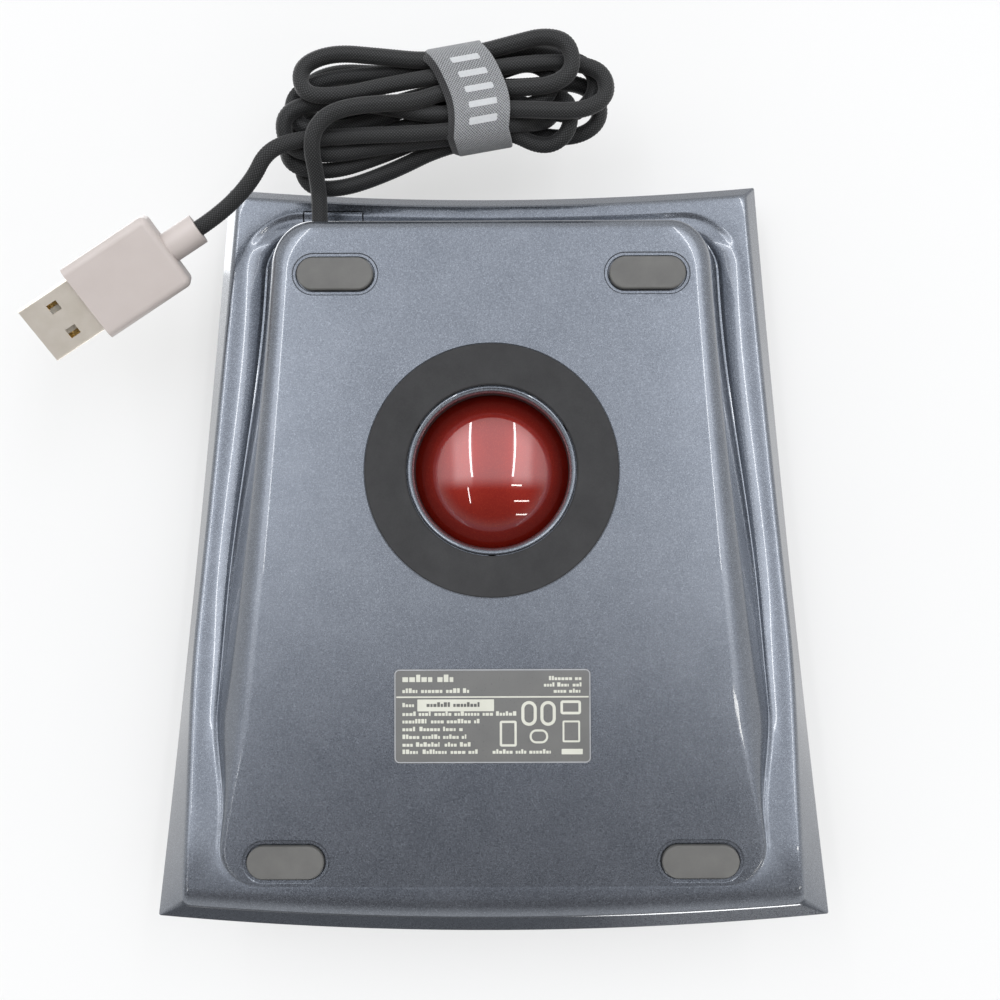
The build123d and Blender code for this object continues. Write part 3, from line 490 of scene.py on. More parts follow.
LABEL = moulded("label_grey", (0.140, 0.140, 0.136), (0.160, 0.160, 0.153), 0.32, 0.4, 0.004, Coat_Weight=0.5)
PRINT = moulded("label_print_cream", (0.60, 0.60, 0.52), (0.66, 0.66, 0.58), 0.45, 0.3, 0.004)
INK = moulded("label_ink", (0.09, 0.09, 0.085), (0.13, 0.13, 0.12), 0.5, 0.3, 0.004)
# light grey line round the label's edge: a painted highlight where the label's bevelled edge catches the light
EDGE_HIGHLIGHT_PAINT = moulded("label_edge_painted_highlight", (0.42, 0.43, 0.45), (0.50, 0.51, 0.53), 0.25, 0.3, 0.004, Coat_Weight=0.6)
GOLD = metal("contact_gilt", (0.85, 0.60, 0.22), (0.72, 0.50, 0.18), 0.22)


# ---------------------------------------------------------------- bottom cover
def circle_through(p, q, r):
    """Centre and radius of the circle through three points."""
    (ax, ay), (bx, by), (cx, cy) = p, q, r
    d = 2 * (ax * (by - cy) + bx * (cy - ay) + cx * (ay - by))
    a2, b2, c2 = ax * ax + ay * ay, bx * bx + by * by, cx * cx + cy * cy
    x = (a2 * (by - cy) + b2 * (cy - ay) + c2 * (ay - by)) / d
    y = (a2 * (cx - bx) + b2 * (ax - cx) + c2 * (bx - ax)) / d
    return x, y, math.hypot(ax - x, ay - y)


SIDE_ARC = circle_through((REAR_HALF, HALF_LENGTH), WAIST, FRONT_CORNER)
REAR_ARC = circle_through((-REAR_HALF, HALF_LENGTH), (0, REAR_MIDDLE_Y), (REAR_HALF, HALF_LENGTH))
FRONT_ARC = circle_through((-FRONT_CORNER[0], FRONT_CORNER[1]), (0, -HALF_LENGTH), FRONT_CORNER)


def side_x(y):
    x, middle, radius = SIDE_ARC
    return x + math.copysign(1.0, WAIST[0] - x) * np.sqrt(radius**2 - (y - middle) ** 2)


def rear_y(x):
    _, middle, radius = REAR_ARC
    return middle + math.copysign(1.0, REAR_MIDDLE_Y - middle) * np.sqrt(radius**2 - x**2)


def front_y(x):
    _, middle, radius = FRONT_ARC
    return middle + math.copysign(1.0, -HALF_LENGTH - middle) * np.sqrt(radius**2 - x**2)


def base_x(y):
    """Half width of the base at the underside, a parabola through three places."""
    (x0, y0), (x1, y1), (x2, y2) = BASE_SIDE
    return (
        x0 * (y - y1) * (y - y2) / ((y0 - y1) * (y0 - y2))
        + x1 * (y - y0) * (y - y2) / ((y1 - y0) * (y1 - y2))
        + x2 * (y - y0) * (y - y1) / ((y2 - y0) * (y2 - y1))
    )


CORNER_STEPS = 16
SIDE_STEPS = 90
END_STEPS = 70
BODY_HALF = (60.0, 75.0)  # rough half sizes, which only turn corner radii into shares
BASE_HALF = (48.0, 65.0)


def corner_point(corner, quarters, half):
    """Point of a rounded corner of the unit square, at an angle in quarter turns."""
    sx, sy, radius = corner
    ra, rb = radius / half[0], radius / half[1]
    angle = quarters * math.pi / 2
    return np.array([sx * (1 - ra) + ra * math.cos(angle), sy * (1 - rb) + rb * math.sin(angle)])


def square_ring(rear_corner, front_corner, half):
    """Closed ring in the unit square, its corners rounded to radii in mm. Every ring has the same count."""
    points = []
    corners = ((1, 1, rear_corner), (-1, 1, rear_corner), (-1, -1, front_corner), (1, -1, front_corner))
    for k, corner in enumerate(corners):
        points += [corner_point(corner, k + i / CORNER_STEPS, half) for i in range(CORNER_STEPS + 1)]
        last, following = points[-1], corner_point(corners[(k + 1) % 4], k + 1, half)
        steps = END_STEPS if k in (0, 2) else SIDE_STEPS
        points += [last + (following - last) * i / steps for i in range(1, steps)]
    return np.array(points)


def smooth_step(t):
    t = np.clip(t, 0, 1)
    return t * t * (3 - 2 * t)


def ramp_up(at, start, end):
    """Smooth change from 0 at start to 1 at end."""
    return smooth_step((at - start) / (end - start))


def smooth_positive(u, soft):
    return 0.5 * (u + np.sqrt(u * u + soft * soft))


WALL_SPREAD = 2.9  # how much wider the plate's side wall is at the front corners, in plan
SPREAD_SPAN = (-15.0, -70.0)  # where that sets in, and where it is full


def outline_ring(side, rear, front, rear_corner=0.4, front_corner=0.4, spread=0.0):
    """Plan ring inside the body's outline by these distances at the sides, rear and front."""
    ab = square_ring(rear_corner, front_corner, BODY_HALF)
    x = ab[:, 0] * BODY_HALF[0]
    share = (ab[:, 1] + 1) / 2
    for _ in range(12):
        low, high = front_y(x) + front, rear_y(x) - rear
        y = low + share * (high - low)
        x = ab[:, 0] * (side_x(y) - side - spread * WALL_SPREAD * ramp_up(y, *SPREAD_SPAN))
    return np.stack([x, y], 1)


def base_ring(out_side, out_rear, out_front, corner):
    """Plan ring outside the base's footprint by these distances (negative is inside)."""
    ab = square_ring(corner, corner, BASE_HALF)
    low, high = BASE_FRONT_Y - out_front, BASE_REAR_Y + out_rear
    y = low + (ab[:, 1] + 1) / 2 * (high - low)
    x = ab[:, 0] * (base_x(y) + out_side)
    return np.stack([x, y], 1)


def part_z(y):
    return PART_Z + y * PART_SLOPE


FRONT_CURL = (8.0, 3.9)  # from the front edge: where the underside starts to curl up, and where it stops
RIM_SOFTNESS = 0.55  # how gently the rim leaves the underside's height


def rim_z(x, y):
    """Lower face of the plate: flat at the underside's height in front, rising to the rear."""
    rise = smooth_positive((y - PLATE_START_Y) * PLATE_SLOPE, RIM_SOFTNESS) - 0.02
    start, end = FRONT_CURL
    curl = np.clip((start - (y - front_y(x))) / (start - end), 0, 1.0)
    return UNDERSIDE_Z + np.maximum(rise, 0) + curl**2


# the hollow beside the base. Spans are places along the body where a change starts and ends, and across the
# hollow from its lip, 0, to the foot of the base, 1
HOLLOW_RATE = 0.0165  # its depth, as a share of the distance from HOLLOW_ZERO_Y
HOLLOW_ZERO_Y = -103.0
HOLLOW_OPENS = (-68.0, -55.0)
REAR_SHALLOWER = 0.6  # the share of its depth that it loses at the rear
REAR_SHALLOWER_SPAN = (61.0, 67.0)
SLOPE_POWER = 1.7
GROOVE = 0.18  # the share of its depth that is a small groove along the foot
GROOVE_ACROSS = (0.84, 0.98)
LEDGE_SPAN = (62.0, 66.0)  # where the sides' slope turns into the rear's ledge
LEDGE_OUTER = 0.5
LEDGE_INNER = 0.3
FLARE = 3.0  # how far the foot of the base's side wall runs out beyond its draft
FLARE_REAR = (50.0, -12.0)
FLARE_FRONT = (-54.0, -32.0)
HOLLOW_STEPS = (0.0, 0.05, 0.10, 0.16, 0.22, 0.30, 0.38, 0.46, 0.54, 0.62, 0.70, 0.78, 0.84, 0.88, 0.92, 0.96)


def hollow_depth(y):
    """How much deeper the hollow between rim and base is than the rim's own face."""
    side = HOLLOW_RATE * (y - HOLLOW_ZERO_Y) * ramp_up(y, *HOLLOW_OPENS)
    return side * (1 - REAR_SHALLOWER * ramp_up(y, *REAR_SHALLOWER_SPAN))


def hollow_profile(t, y):
    """Share of the hollow's depth across it: at the sides a slope that steepens inwards and ends in a groove,
    at the rear a shallow ledge."""
    slope = (1 - GROOVE) * np.clip(t, 0, 1) ** SLOPE_POWER + GROOVE * ramp_up(t, *GROOVE_ACROSS)
    plain = 1 - LEDGE_OUTER - LEDGE_INNER
    ledge = LEDGE_OUTER * ramp_up(t, 0.0, 0.4) + plain * t + LEDGE_INNER * ramp_up(t, 0.8, 1.0)
    return slope + (ledge - slope) * ramp_up(y, *LEDGE_SPAN)


def foot_flare(y):
    return FLARE * ramp_up(y, *FLARE_REAR) * ramp_up(y, *FLARE_FRONT)


# rings of the cover, as distances inside the body's outline at the sides, rear and front, then corner radii
UPPER_EDGE = ((0.45, 0.0), (0.18, 0.05), (0.05, 0.18), (0.0, 0.45))  # distance on every side, and drop
WALL_FOOT = (2.6, 2.3, 3.9, 0.9, 1.2)
WALL_FOOT_ABOVE = 0.55  # height of the wall's foot over the rim's face
FOLD = (  # onto the rim's face: side, rear, front, rear corner, height over the face
    (2.85, 2.50, 4.00, 1.2, 0.30),
    (3.10, 2.75, 4.20, 1.6, 0.12),
    (3.35, 3.05, 4.50, 2.2, 0.03),
    (3.60, 3.60, 5.00, 5.0, 0.00),
    (3.85, 4.30, 5.50, 9.5, 0.00),
)
FOLD_FRONT_CORNER = 1.6
LIP = (4.1, 5.0, 6.0, 15.0, 2.2)
INNER_SLOPE = (5.0, 4.6, 6.4, 2.5, 2.5)
INNER_LIP = (2.1, 2.1, 2.2)
BASE_CORNER = 8.0
BASE_EDGE = 2.6  # height of the rounding along the base's lower edge
EDGE_SHARE = 0.6  # and the most of a low wall that it takes
EDGE_REACH = 1.25  # how far it reaches inwards, as a share of its height
LEAST_REACH = 1.2
LOW_WALL = 0.01  # a wall lower than this doesn't lean
WALL_STEPS = (0.0, 0.06, 0.2, 0.4, 0.6, 0.8, 0.93)
FLOOR_INSET = 4.2  # the cover's inner floor is this far inside the base's footprint
FLOOR_CORNER = 5.0
INNER_SHRINK = 1 - 2.4 / 50.0  # size of the cover's inside at the foot of the base, as a share of its outside
THICKNESS = (2.0, 2.2)  # of the cover over the hollow, and behind the rim


def wall_rings():
    """Rings from the cover's upper edge down its undercut wall and over the fold onto the rim's face."""
    rings = []
    for inset, drop in UPPER_EDGE:
        plan = outline_ring(inset, inset, inset)
        rings.append(at_height(plan, part_z(plan[:, 1]) - drop))
    wall = outline_ring(*WALL_FOOT, 1.0)
    top, top_z = rings[-1][:, :2], rings[-1][:, 2]
    low_z = rim_z(*wall.T) + WALL_FOOT_ABOVE
    for t in np.linspace(0.08, 1.0, 12):
        rings.append(at_height(top + (wall - top) * t, top_z + (low_z - top_z) * t))
    for side, rear, front, corner, above in FOLD:
        plan = outline_ring(side, rear, front, corner, FOLD_FRONT_CORNER, 1.0)
        rings.append(at_height(plan, rim_z(*plan.T) + above))
    return rings


def cover_rings():
    """Rings of the cover's outer face, from its upper edge down the wall, over the rim, through the hollow,
    up the base and onto the flat underside. The foot of the base and its height come with them."""
    rings = wall_rings()
    base = base_ring(0, 0, 0, BASE_CORNER)
    outward = base_ring(1.0, 0, 0, BASE_CORNER) - base
    behind = base_ring(0, 1.0, 0, BASE_CORNER) - base
    flare = foot_flare(base[:, 1])

    def lean(height):
        """How far the base's wall stands out at this height."""
        return outward * (height * SIDE_DRAFT + flare)[:, None] + behind * (height * REAR_DRAFT)[:, None]

    # hollow: from the lip to the foot of the base's wall
    lip = outline_ring(*LIP, 1.0)
    foot = base + lean(np.maximum(rim_z(*base.T) + hollow_depth(base[:, 1]) - UNDERSIDE_Z, 0.0))
    for t in HOLLOW_STEPS:
        plan = lip + (foot - lip) * t
        depth = hollow_depth(plan[:, 1]) * hollow_profile(t, plan[:, 1])
        rings.append(at_height(plan, rim_z(*plan.T) + depth))
    # base wall and its rounded lower edge
    top_z = rings[-1][:, 2]
    tall = np.maximum(top_z - UNDERSIDE_Z, 0.0)
    full_lean = lean(tall)
    edge = np.minimum(BASE_EDGE, EDGE_SHARE * tall)

    def share(height):
        """A height over the underside as a share of the wall's."""
        return np.where(tall > LOW_WALL, height / np.maximum(tall, LOW_WALL), 0.0)[:, None]

    for t in WALL_STEPS:
        z = top_z + (UNDERSIDE_Z + edge - top_z) * t
        rings.append(at_height(base + full_lean * share(z - UNDERSIDE_Z), z))
    start = base + full_lean * share(edge)
    end = base - (outward + behind) * np.maximum(EDGE_REACH * edge, LEAST_REACH)[:, None]
    for t in np.linspace(0, 1, 12):
        plan = (1 - t) ** 2 * start + 2 * t * (1 - t) * base + t * t * end
        z = UNDERSIDE_Z + edge * (1 - t) ** 2
        rings.append(at_height(plan, np.minimum(z, top_z)))
    return rings, foot, top_z


def inner_rings(foot, top_z):
    """Rings of the cover's inside, from its floor to the lip under the buttons."""
    slope = outline_ring(*INNER_SLOPE)
    lip = outline_ring(*INNER_LIP)
    return [
        at_height(base_ring(-FLOOR_INSET, -FLOOR_INSET, -FLOOR_INSET, FLOOR_CORNER), FLOOR_Z),
        at_height(foot * INNER_SHRINK, np.maximum(top_z + THICKNESS[0], FLOOR_Z)),
        at_height(slope, rim_z(*slope.T) + THICKNESS[1]),
        at_height(lip, part_z(lip[:, 1])),
    ]


# what is cut from the cover: (radius, height) round the ring's seat and the rolled edge of the ball's hole
HOLE_PROFILE = (
    (0.0, -2.0),
    (RING_OUT + 0.05, -2.0),
    (RING_OUT + 0.05, RING_DEPTH_Z),
    (RING_IN, RING_DEPTH_Z),
    (RING_IN, 1.45),
    (RING_IN - 0.06, 1.08),
    (RING_IN - 0.20, 0.88),
    (RING_IN - 0.42, 0.801),
    (RING_IN - 0.66, 0.86),
    (RING_IN - 0.92, 1.08),
    (RING_IN - 1.15, 1.50),
    (HOLE_R, 2.30),
    (HOLE_R, 6.0),
    (0.0, 6.0),
)
FOOT_POCKET = (  # how much larger than the foot, and height
    (2.3, -1.0),
    (2.1, UNDERSIDE_Z + 0.02),
    (1.7, UNDERSIDE_Z + 0.16),
    (0.75, UNDERSIDE_Z + 0.18),
    (0.45, UNDERSIDE_Z + 0.34),
    (0.45, 1.75),
)
DOOR_CUT = (DOOR_SIZE[0] + 0.5, DOOR_SIZE[1] + 0.4)
LABEL_CUT = (LABEL_SIZE[0] + 0.3, LABEL_SIZE[1] + 0.3)
BORE_R = 2.6


def exit_bore(steps=40):
    """Cutter for the cord's hole through the base's rear wall."""
    a = np.linspace(0, math.tau, steps, endpoint=False)
    x, z = EXIT[0] + BORE_R * np.cos(a), EXIT[2] + BORE_R * np.sin(a)
    return capped_loft([np.column_stack([x, np.full(steps, EXIT[1] + past), z]) for past in (-7.0, 4.0)])


def make_cover():
    outer, foot, top_z = cover_rings()
    cover = make_piece("bottom_cover_shell", *capped_loft(inner_rings(foot, top_z) + outer))
    cuts = [
        turned(HOLE_PROFILE),
        exit_bore(),
        capped_loft([box_ring(DOOR_CENTRE, DOOR_CUT, 0.6, z) for z in (12.0, 30.0)]),
        capped_loft([box_ring(LABEL_CENTRE, LABEL_CUT, 1.1, z) for z in (-1.0, UNDERSIDE_Z + 0.10)]),
    ]
    length, width = FOOT_SIZE
    for centre in FEET.values():
        rings = [slot_ring(centre, length + more, width + more, z) for more, z in FOOT_POCKET]
        cuts.append(capped_loft(rings))
    cutter = make_piece("cover_cutter", *join_surfaces(cuts))
    cut = cover.modifiers.new("cut", "BOOLEAN")
    cut.operation = "DIFFERENCE"
    cut.solver = "EXACT"
    cut.object = cutter
    apply_modifiers(cover)
    bpy.data.objects.remove(cutter)
    shade(cover, 32)
    return finish_piece(cover, PAINT, replaces=("bottom_cover",))


REAR_WALL_TALL = 18.5  # height of the base's rear wall, for the foot's place at the door
DOOR_GAP = 0.02
DOOR_THICK = 1.3


def door_z(x, y):
    """Height of the hollow's surface at the cable door."""
    lip = rear_y(x) - LIP[1]
    foot = BASE_REAR_Y + REAR_WALL_TALL * REAR_DRAFT
    return rim_z(x, y) + hollow_depth(y) * hollow_profile((lip - y) / (lip - foot), y)


def make_door():
    """Small door over the cord's exit, following the hollow's surface."""
    half_x, half_y = DOOR_SIZE[0] / 2, DOOR_SIZE[1] / 2
    x = np.linspace(DOOR_CENTRE[0] - half_x, DOOR_CENTRE[0] + half_x, 30)
    rows = []
    for place in np.linspace(DOOR_CENTRE[1] - half_y, DOOR_CENTRE[1] + half_y, 14):
        y = np.full_like(x, place)
        z = door_z(x, y) + DOOR_GAP
        under = np.column_stack([x, y, z])
        over = np.column_stack([x, y, z + DOOR_THICK])[::-1]
        rows.append(np.concatenate([under, over]))
    door = make_piece("cable_exit_door", *capped_loft(rows))
    shade(bevelled(door, 0.12, 40), 40)
    return finish_piece(door, PAINT, replaces=("cable_exit_cover",))


make_cover()
make_door()


# ---------------------------------------------------------------- cord
ALONG = np.array([math.cos(TIE_TURN), math.sin(TIE_TURN), 0.0])
ACROSS = np.array([-math.sin(TIE_TURN), math.cos(TIE_TURN), 0.0])
TIE_MIDDLE = np.array([*TIE_CENTRE, 0.0])
TIE_HALF = 6.5  # how far each side of the tie the runs stay parallel
FOLD_R = 4.9  # least radius of the hank's folds

# where each run passes through the tie: across it and above the desk
RUNS = [
    (0.0, 3.4),
    (7.2, 3.4),
    (3.6, 3.4),
    (-3.6, 3.4),
    (-7.2, 6.8),
    (-7.2, 10.2),
    (-3.6, 6.8),
    (3.6, 6.8),
    (7.2, 6.8),
    (0.0, 6.8),
    (-3.6, 10.2),
    (3.6, 10.2),
    (7.2, 10.2),
    (-7.2, 3.4),
]
# loops beyond the tie on the side away from the exit: reach, middle, half width, height at the tip
FAR_LOOPS = [
    (26.5, 1.8, 8.6, 4.2),
    (34.5, -3.6, 6.4, 5.0),
    (23.0, -8.4, 5.6, 8.0),
    (22.5, 1.2, 6.6, 7.0),
    (31.0, -0.5, 7.2, 8.5),
    (33.5, -4.5, 6.8, 10.6),
    (24.5, 3.4, 8.4, 11.0),
]
# loops on the exit's side
NEAR_LOOPS = [
    (41.5, 7.0, 6.2, 6.2),
    (47.0, 0.8, 5.8, 6.6),
    (46.5, -6.4, 5.0, 11.9),
    (45.0, 3.8, 6.2, 9.2),
    (48.0, -4.0, 6.2, 10.6),
    (42.5, 5.8, 6.8, 11.4),
]
LEAD = [EXIT, (35.0, 70.4, 9.5), (35.3, 75.0, 6.6), (35.7, 78.4, 3.4), (35.2, 82.0, 2.2), (32.4, 85.2, 1.9)]
LEAD += [(27.6, 86.8, 1.9), (21.0, 87.4, 2.1), (15.0, 87.9, 2.8)]
# the tail's first points: along the hank, across it, and height
TAIL_OUT = [(14.0, -6.8, 4.0), (22.0, -5.2, 5.4), (30.0, -3.9, 6.0), (36.6, -3.6, 4.6)]
TAIL = [(44.6, 78.0, 2.6), (47.6, 72.8, 4.2), (54.03, 67.15, 6.6), (59.02, 63.82, 6.6)]


def from_tie(along, across, height):
    """Point given by its distances along and across the tied hank."""
    return TIE_MIDDLE + ALONG * along + ACROSS * across + np.array([0, 0, height])


# round an end loop: shares of its reach, of its half width and of its tip's height
LOOP_OUT = ((0.40, 0.80, 0.45), (0.72, 1.0, 0.9), (0.97, 0.58, 1.0))
LOOP_BACK = tuple((share, -out, lift) for share, out, lift in LOOP_OUT[::-1])


def loop_points(side, size, start, end):
    """Six points round an end loop. side is +1 on the exit's side of the tie and -1 on the other."""
    reach, middle, half, tip = size
    turn = 1.0 if start[0] > end[0] or (start[0] == end[0] and middle > start[0]) else -1.0
    points = []
    for share, out, lift in LOOP_OUT + LOOP_BACK:
        run = start if out > 0 else end
        wide = middle + turn * half * out
        across = run[0] + (wide - run[0]) * (0.7 if share < 0.5 else 1.0)
        height = run[1] + (tip - run[1]) * lift
        points.append(from_tie(side * reach * share, across, height))
    return points


def cord_route():
    """Control points of the whole cord, and which of them stay where they are."""
    points = [np.array(p) for p in LEAD]
    fixed = [True] * len(points)
    for k, run in enumerate(RUNS):
        side = 1.0 if k % 2 == 0 else -1.0
        for s in (side, -side):
            points.append(from_tie(s * TIE_HALF, *run))
        fixed += [False, False]
        if k == len(RUNS) - 1:
            break
        loops = FAR_LOOPS if k % 2 == 0 else NEAR_LOOPS
        loop = loop_points(-side, loops[k // 2], run, RUNS[k + 1])
        points += loop
        fixed += [False] * len(loop)
    tail = [from_tie(*p) for p in TAIL_OUT] + [np.array(p) for p in TAIL]
    points += tail
    fixed += [False] * len(TAIL_OUT) + [True] * len(TAIL)
    return np.array(points), np.array(fixed)


def blend_matrix(count, steps=4):
    """Weights of the control points at even steps along a quadratic spline."""
    rows = []
    for i in range(count - 2):
        for k in range(steps):
            t = k / steps
            row = np.zeros(count)
            row[i : i + 3] = (0.5 * (1 - t) ** 2, 0.5 + t - t * t, 0.5 * t * t)
            rows.append(row)
    return np.array(rows)


def least_gap(apart):
    """Least distance between two points of the cord, by the length of cord between them: those on one fold
    stay as far apart as on a half circle of FOLD_R, and any others a diameter apart."""
    half_turn = math.pi * FOLD_R
    on_fold = 2 * FOLD_R * np.sin(np.minimum(apart, half_turn) / (2 * FOLD_R))
    past_fold = 2 * FOLD_R - 0.9 * (apart - half_turn)
    return np.where(apart < half_turn, on_fold, np.maximum(past_fold, CORD_D + 0.12))


PUSH = 1.2  # share of a gap's lack that one round makes up
HOME_PULL = 0.012  # share of the way back to its own place that a point goes each round
STRAIGHTENING = 0.03
DESK_GAP = 0.1
TIE_MARGIN = 1.75  # the cord's middle stays this far inside the tie's sides
TIE_HEIGHTS = (3.3, 10.3)  # and between these heights in the tie


def settle(points, fixed, rounds=260):
    """Pushes runs of the cord that lie in each other apart, opens tight folds, and keeps the cord on the desk
    and inside the tie."""
    weights = blend_matrix(len(points))
    share = weights / np.maximum(weights.sum(0), 1e-9)
    home = points.copy()
    for _ in range(rounds):
        line = weights @ points
        run = np.concatenate([[0.0], np.cumsum(np.linalg.norm(np.diff(line, axis=0), axis=1))])
        room = least_gap(np.abs(run[:, None] - run[None, :]))
        gap = line[:, None, :] - line[None, :, :]
        distance = np.linalg.norm(gap, axis=2)
        short = np.maximum(room - distance, 0.0)
        away = gap / np.maximum(distance, 1e-6)[..., None]
        push = (away * short[..., None]).sum(1) / np.maximum((short > 0.02).sum(1), 1)[:, None]
        low = np.maximum(CORD_D / 2 + DESK_GAP - line[:, 2], 0.0)
        high = np.maximum(line[:, 2] - (HANK_HEIGHT - CORD_D / 2), 0.0)
        push[:, 2] += low - high
        moved = points + PUSH * (share.T @ push) + HOME_PULL * (home - points)
        moved[1:-1] += STRAIGHTENING * (0.5 * (moved[:-2] + moved[2:]) - moved[1:-1])
        local = moved - TIE_MIDDLE
        along, across = local @ ALONG, local @ ACROSS
        held = np.abs(along) < TIE_HALF + 1.5
        widest = TIE_INSIDE / 2 - TIE_MARGIN
        keep = np.clip(across, -widest, widest)
        moved += np.where(held, keep - across, 0.0)[:, None] * ACROSS
        moved[:, 2] = np.where(held, np.clip(moved[:, 2], *TIE_HEIGHTS), moved[:, 2])
        points = np.where(fixed[:, None], home, moved)
    return points


def spline_line(points, resolution=8):
    """Points along the smooth spline with these control points, in mm."""
    curve = bpy.data.curves.new("cord_line", "CURVE")
    curve.dimensions = "3D"
    curve.resolution_u = resolution
    spline = curve.splines.new("NURBS")
    spline.points.add(len(points) - 1)
    for control, p in zip(spline.points, points):
        control.co = (*(float(c) * MM for c in p), 1.0)
    spline.order_u = 3
    spline.use_endpoint_u = True
    holder = add_object("cord_line", curve)
    mesh = bpy.data.meshes.new_from_object(holder)
    line = np.array([v.co for v in mesh.vertices]) / MM
    bpy.data.objects.remove(holder)
    bpy.data.curves.remove(curve)
    bpy.data.meshes.remove(mesh)
    return line


def frames_along(line):
    """Two directions square to the line at each point, without twist."""
    tangent = np.gradient(line, axis=0)
    tangent /= np.linalg.norm(tangent, axis=1)[:, None]
    side = np.cross(tangent[0], (0, 0, 1.0))
    side /= np.linalg.norm(side)
    sides = [side]
    for t in tangent[1:]:
        side = side - t * (side @ t)
        side = side / np.linalg.norm(side)
        sides.append(side)
    sides = np.array(sides)
    return sides, np.cross(tangent, sides)


BRAID_PITCH = 1.31  # length of cord that one yarn's crossings repeat in
BRAID_RELIEF = 0.17


def braided_tube(name, line, radius, around=24, spacing=0.30):
    """Closed tube whose surface carries the crossing yarns of a braid."""
    path, at = evenly(line, spacing)
    side, up = frames_along(path)
    angle = np.linspace(0, math.tau, around, endpoint=False)
    phase = at / BRAID_PITCH * math.tau
    over = np.sin(phase[:, None] + BRAID_STRANDS * angle) * np.sin(phase[:, None] - BRAID_STRANDS * angle)
    r = radius - BRAID_RELIEF + BRAID_RELIEF * (0.5 + 0.5 * over)
    ring = side[:, None, :] * np.cos(angle)[None, :, None] + up[:, None, :] * np.sin(angle)[None, :, None]
    points, faces = capped_loft(path[:, None, :] + ring * r[..., None])
    # the seam's texture coordinates stay whole because the braid repeats a whole number of times round
    u = np.tile(angle / math.tau, len(path))
    v = np.repeat(phase, around)
    tube = make_piece(name, points, faces, 60, np.column_stack([u, v]))
    fix_seam(tube)
    return tube, path


def fix_seam(tube):
    """Texture coordinates of the faces that close each ring."""
    layer = tube.data.uv_layers["UVMap"].data
    for polygon in tube.data.polygons:
        if len(polygon.vertices) != 4:
            continue
        values = [layer[i].uv[0] for i in polygon.loop_indices]
        if max(values) - min(values) > 0.5:
            for i in polygon.loop_indices:
                if layer[i].uv[0] < 0.5:
                    layer[i].uv[0] += 1.0


def make_cord():
    points, fixed = cord_route()
    line = spline_line(settle(points, fixed))
    cord, path = braided_tube("cord_braided", line, CORD_D / 2)
    finish_piece(cord, BRAID, replaces=("cord_lead", "cord_hank", "cord_tail"))
    return cord, path


cord, cord_path = make_cord()


# ---------------------------------------------------------------- tie
TIE_OUTER = (TIE_INSIDE / 2 + TIE_THICK - 0.1, HANK_HEIGHT / 2 - 0.05)  # half sizes of the strap's outer face
TIE_CORNER = 6.2
TIE_LEAN = 1.5
TIE_BOW = 2.3  # how far the strap bows where it faces the desk
MARKS = 5
MARK_SIZE = (5.6, 1.25)
MARK_PITCH = 3.1


def tie_line():
    """Closed ring of the strap's outer face, (across, height) from its middle, and the run along it."""
    ring = box_ring((0.0, 0.0), (2 * TIE_OUTER[0], 2 * TIE_OUTER[1]), TIE_CORNER, 0.0, 10)[:, :2]
    line, at = evenly(np.concatenate([ring, ring[:1]]), 0.6)
    return line[:-1], at[:-1]


def tie_shift(across, up):
    """How far the strap lies along the hank at a place of its loop: it leans, and bows where it is seen."""
    bow = TIE_BOW * max(1 - (across / 9.0) ** 2, 0.0) if up < 0 else 0.0
    return TIE_LEAN * math.cos(math.atan2(up, across) + 0.5) - bow


def tie_low(across):
    """Height of the strap's outer face under the hank."""
    past = max(abs(across) - (TIE_OUTER[0] - TIE_CORNER), 0.0)
    return 0.05 + TIE_CORNER - math.sqrt(TIE_CORNER**2 - past**2)


def tie_profile():
    """(place across the strap, depth) round its section: flat outside, one edge curled in, flat inside."""
    half = TIE_WIDTH / 2
    edge = [(-half, -1.0), (-half, -0.35), (-half + 0.18, -0.06), (-half + 0.5, 0.0)]
    face = [(s, 0.0) for s in np.linspace(-half + 1.2, half - 1.2, 9)]
    fold = [(half - 0.5, 0.0), (half - 0.1, -0.05), (half + 0.05, -0.18)]
    curl = [(0.3, -0.30), (0.9, -0.62), (1.35, -1.05), (1.25, -1.35), (0.2, -1.2)]
    inside = [(s, -1.05) for s in np.linspace(half - 0.8, -half + 0.8, 7)]
    return edge + face + fold + [(half + s, depth) for s, depth in curl] + inside


def make_tie():
    """Woven strap round the hank, with its hook side showing dark inside."""
    outer, at = tie_line()
    count = len(outer)
    normal = np.column_stack([-np.gradient(outer[:, 1]), np.gradient(outer[:, 0])])
    normal /= np.linalg.norm(normal, axis=1)[:, None]
    if (normal[0] @ outer[0]) < 0:
        normal = -normal
    lean = np.array([tie_shift(a, z) for a, z in outer])
    profile = tie_profile()
    rings = []
    for s, depth in profile:
        ring = outer + normal * depth
        rings.append([from_tie(s + shift, a, HANK_HEIGHT / 2 + z) for (a, z), shift in zip(ring, lean)])
    uv = np.column_stack([np.tile(at, len(profile)), np.repeat([s for s, _ in profile], count)])
    strap = finish_piece(
        make_piece("tie_strap", *looped_loft(rings), 50, uv), TIE, replaces=("cable_tie",)
    )
    strap.data.materials.append(TIE_EDGE)
    inner = {k for k, (_, depth) in enumerate(profile) if depth < -0.15}
    for polygon in strap.data.polygons:
        if {i // count for i in polygon.vertices} <= inner:
            polygon.material_index = 1
    return strap


def make_tie_marks():
    """Plain light bars woven across the strap's side that faces the desk."""
    bars = []
    for k in range(MARKS):
        bar = box_ring((-0.2, 5.6 - MARK_PITCH * k), MARK_SIZE, 0.3, 0.0, 4)
        rows = []
        for lift in (0.012, -0.05):
            rows.append([from_tie(a + tie_shift(w, -6.8), w, tie_low(w) + lift) for a, w, _ in bar])
        bars.append(capped_loft(rows))
    return finish_piece(make_piece("tie_marks", *join_surfaces(bars)), TIE_MARK)


tie = make_tie()
tie_marks = make_tie_marks()


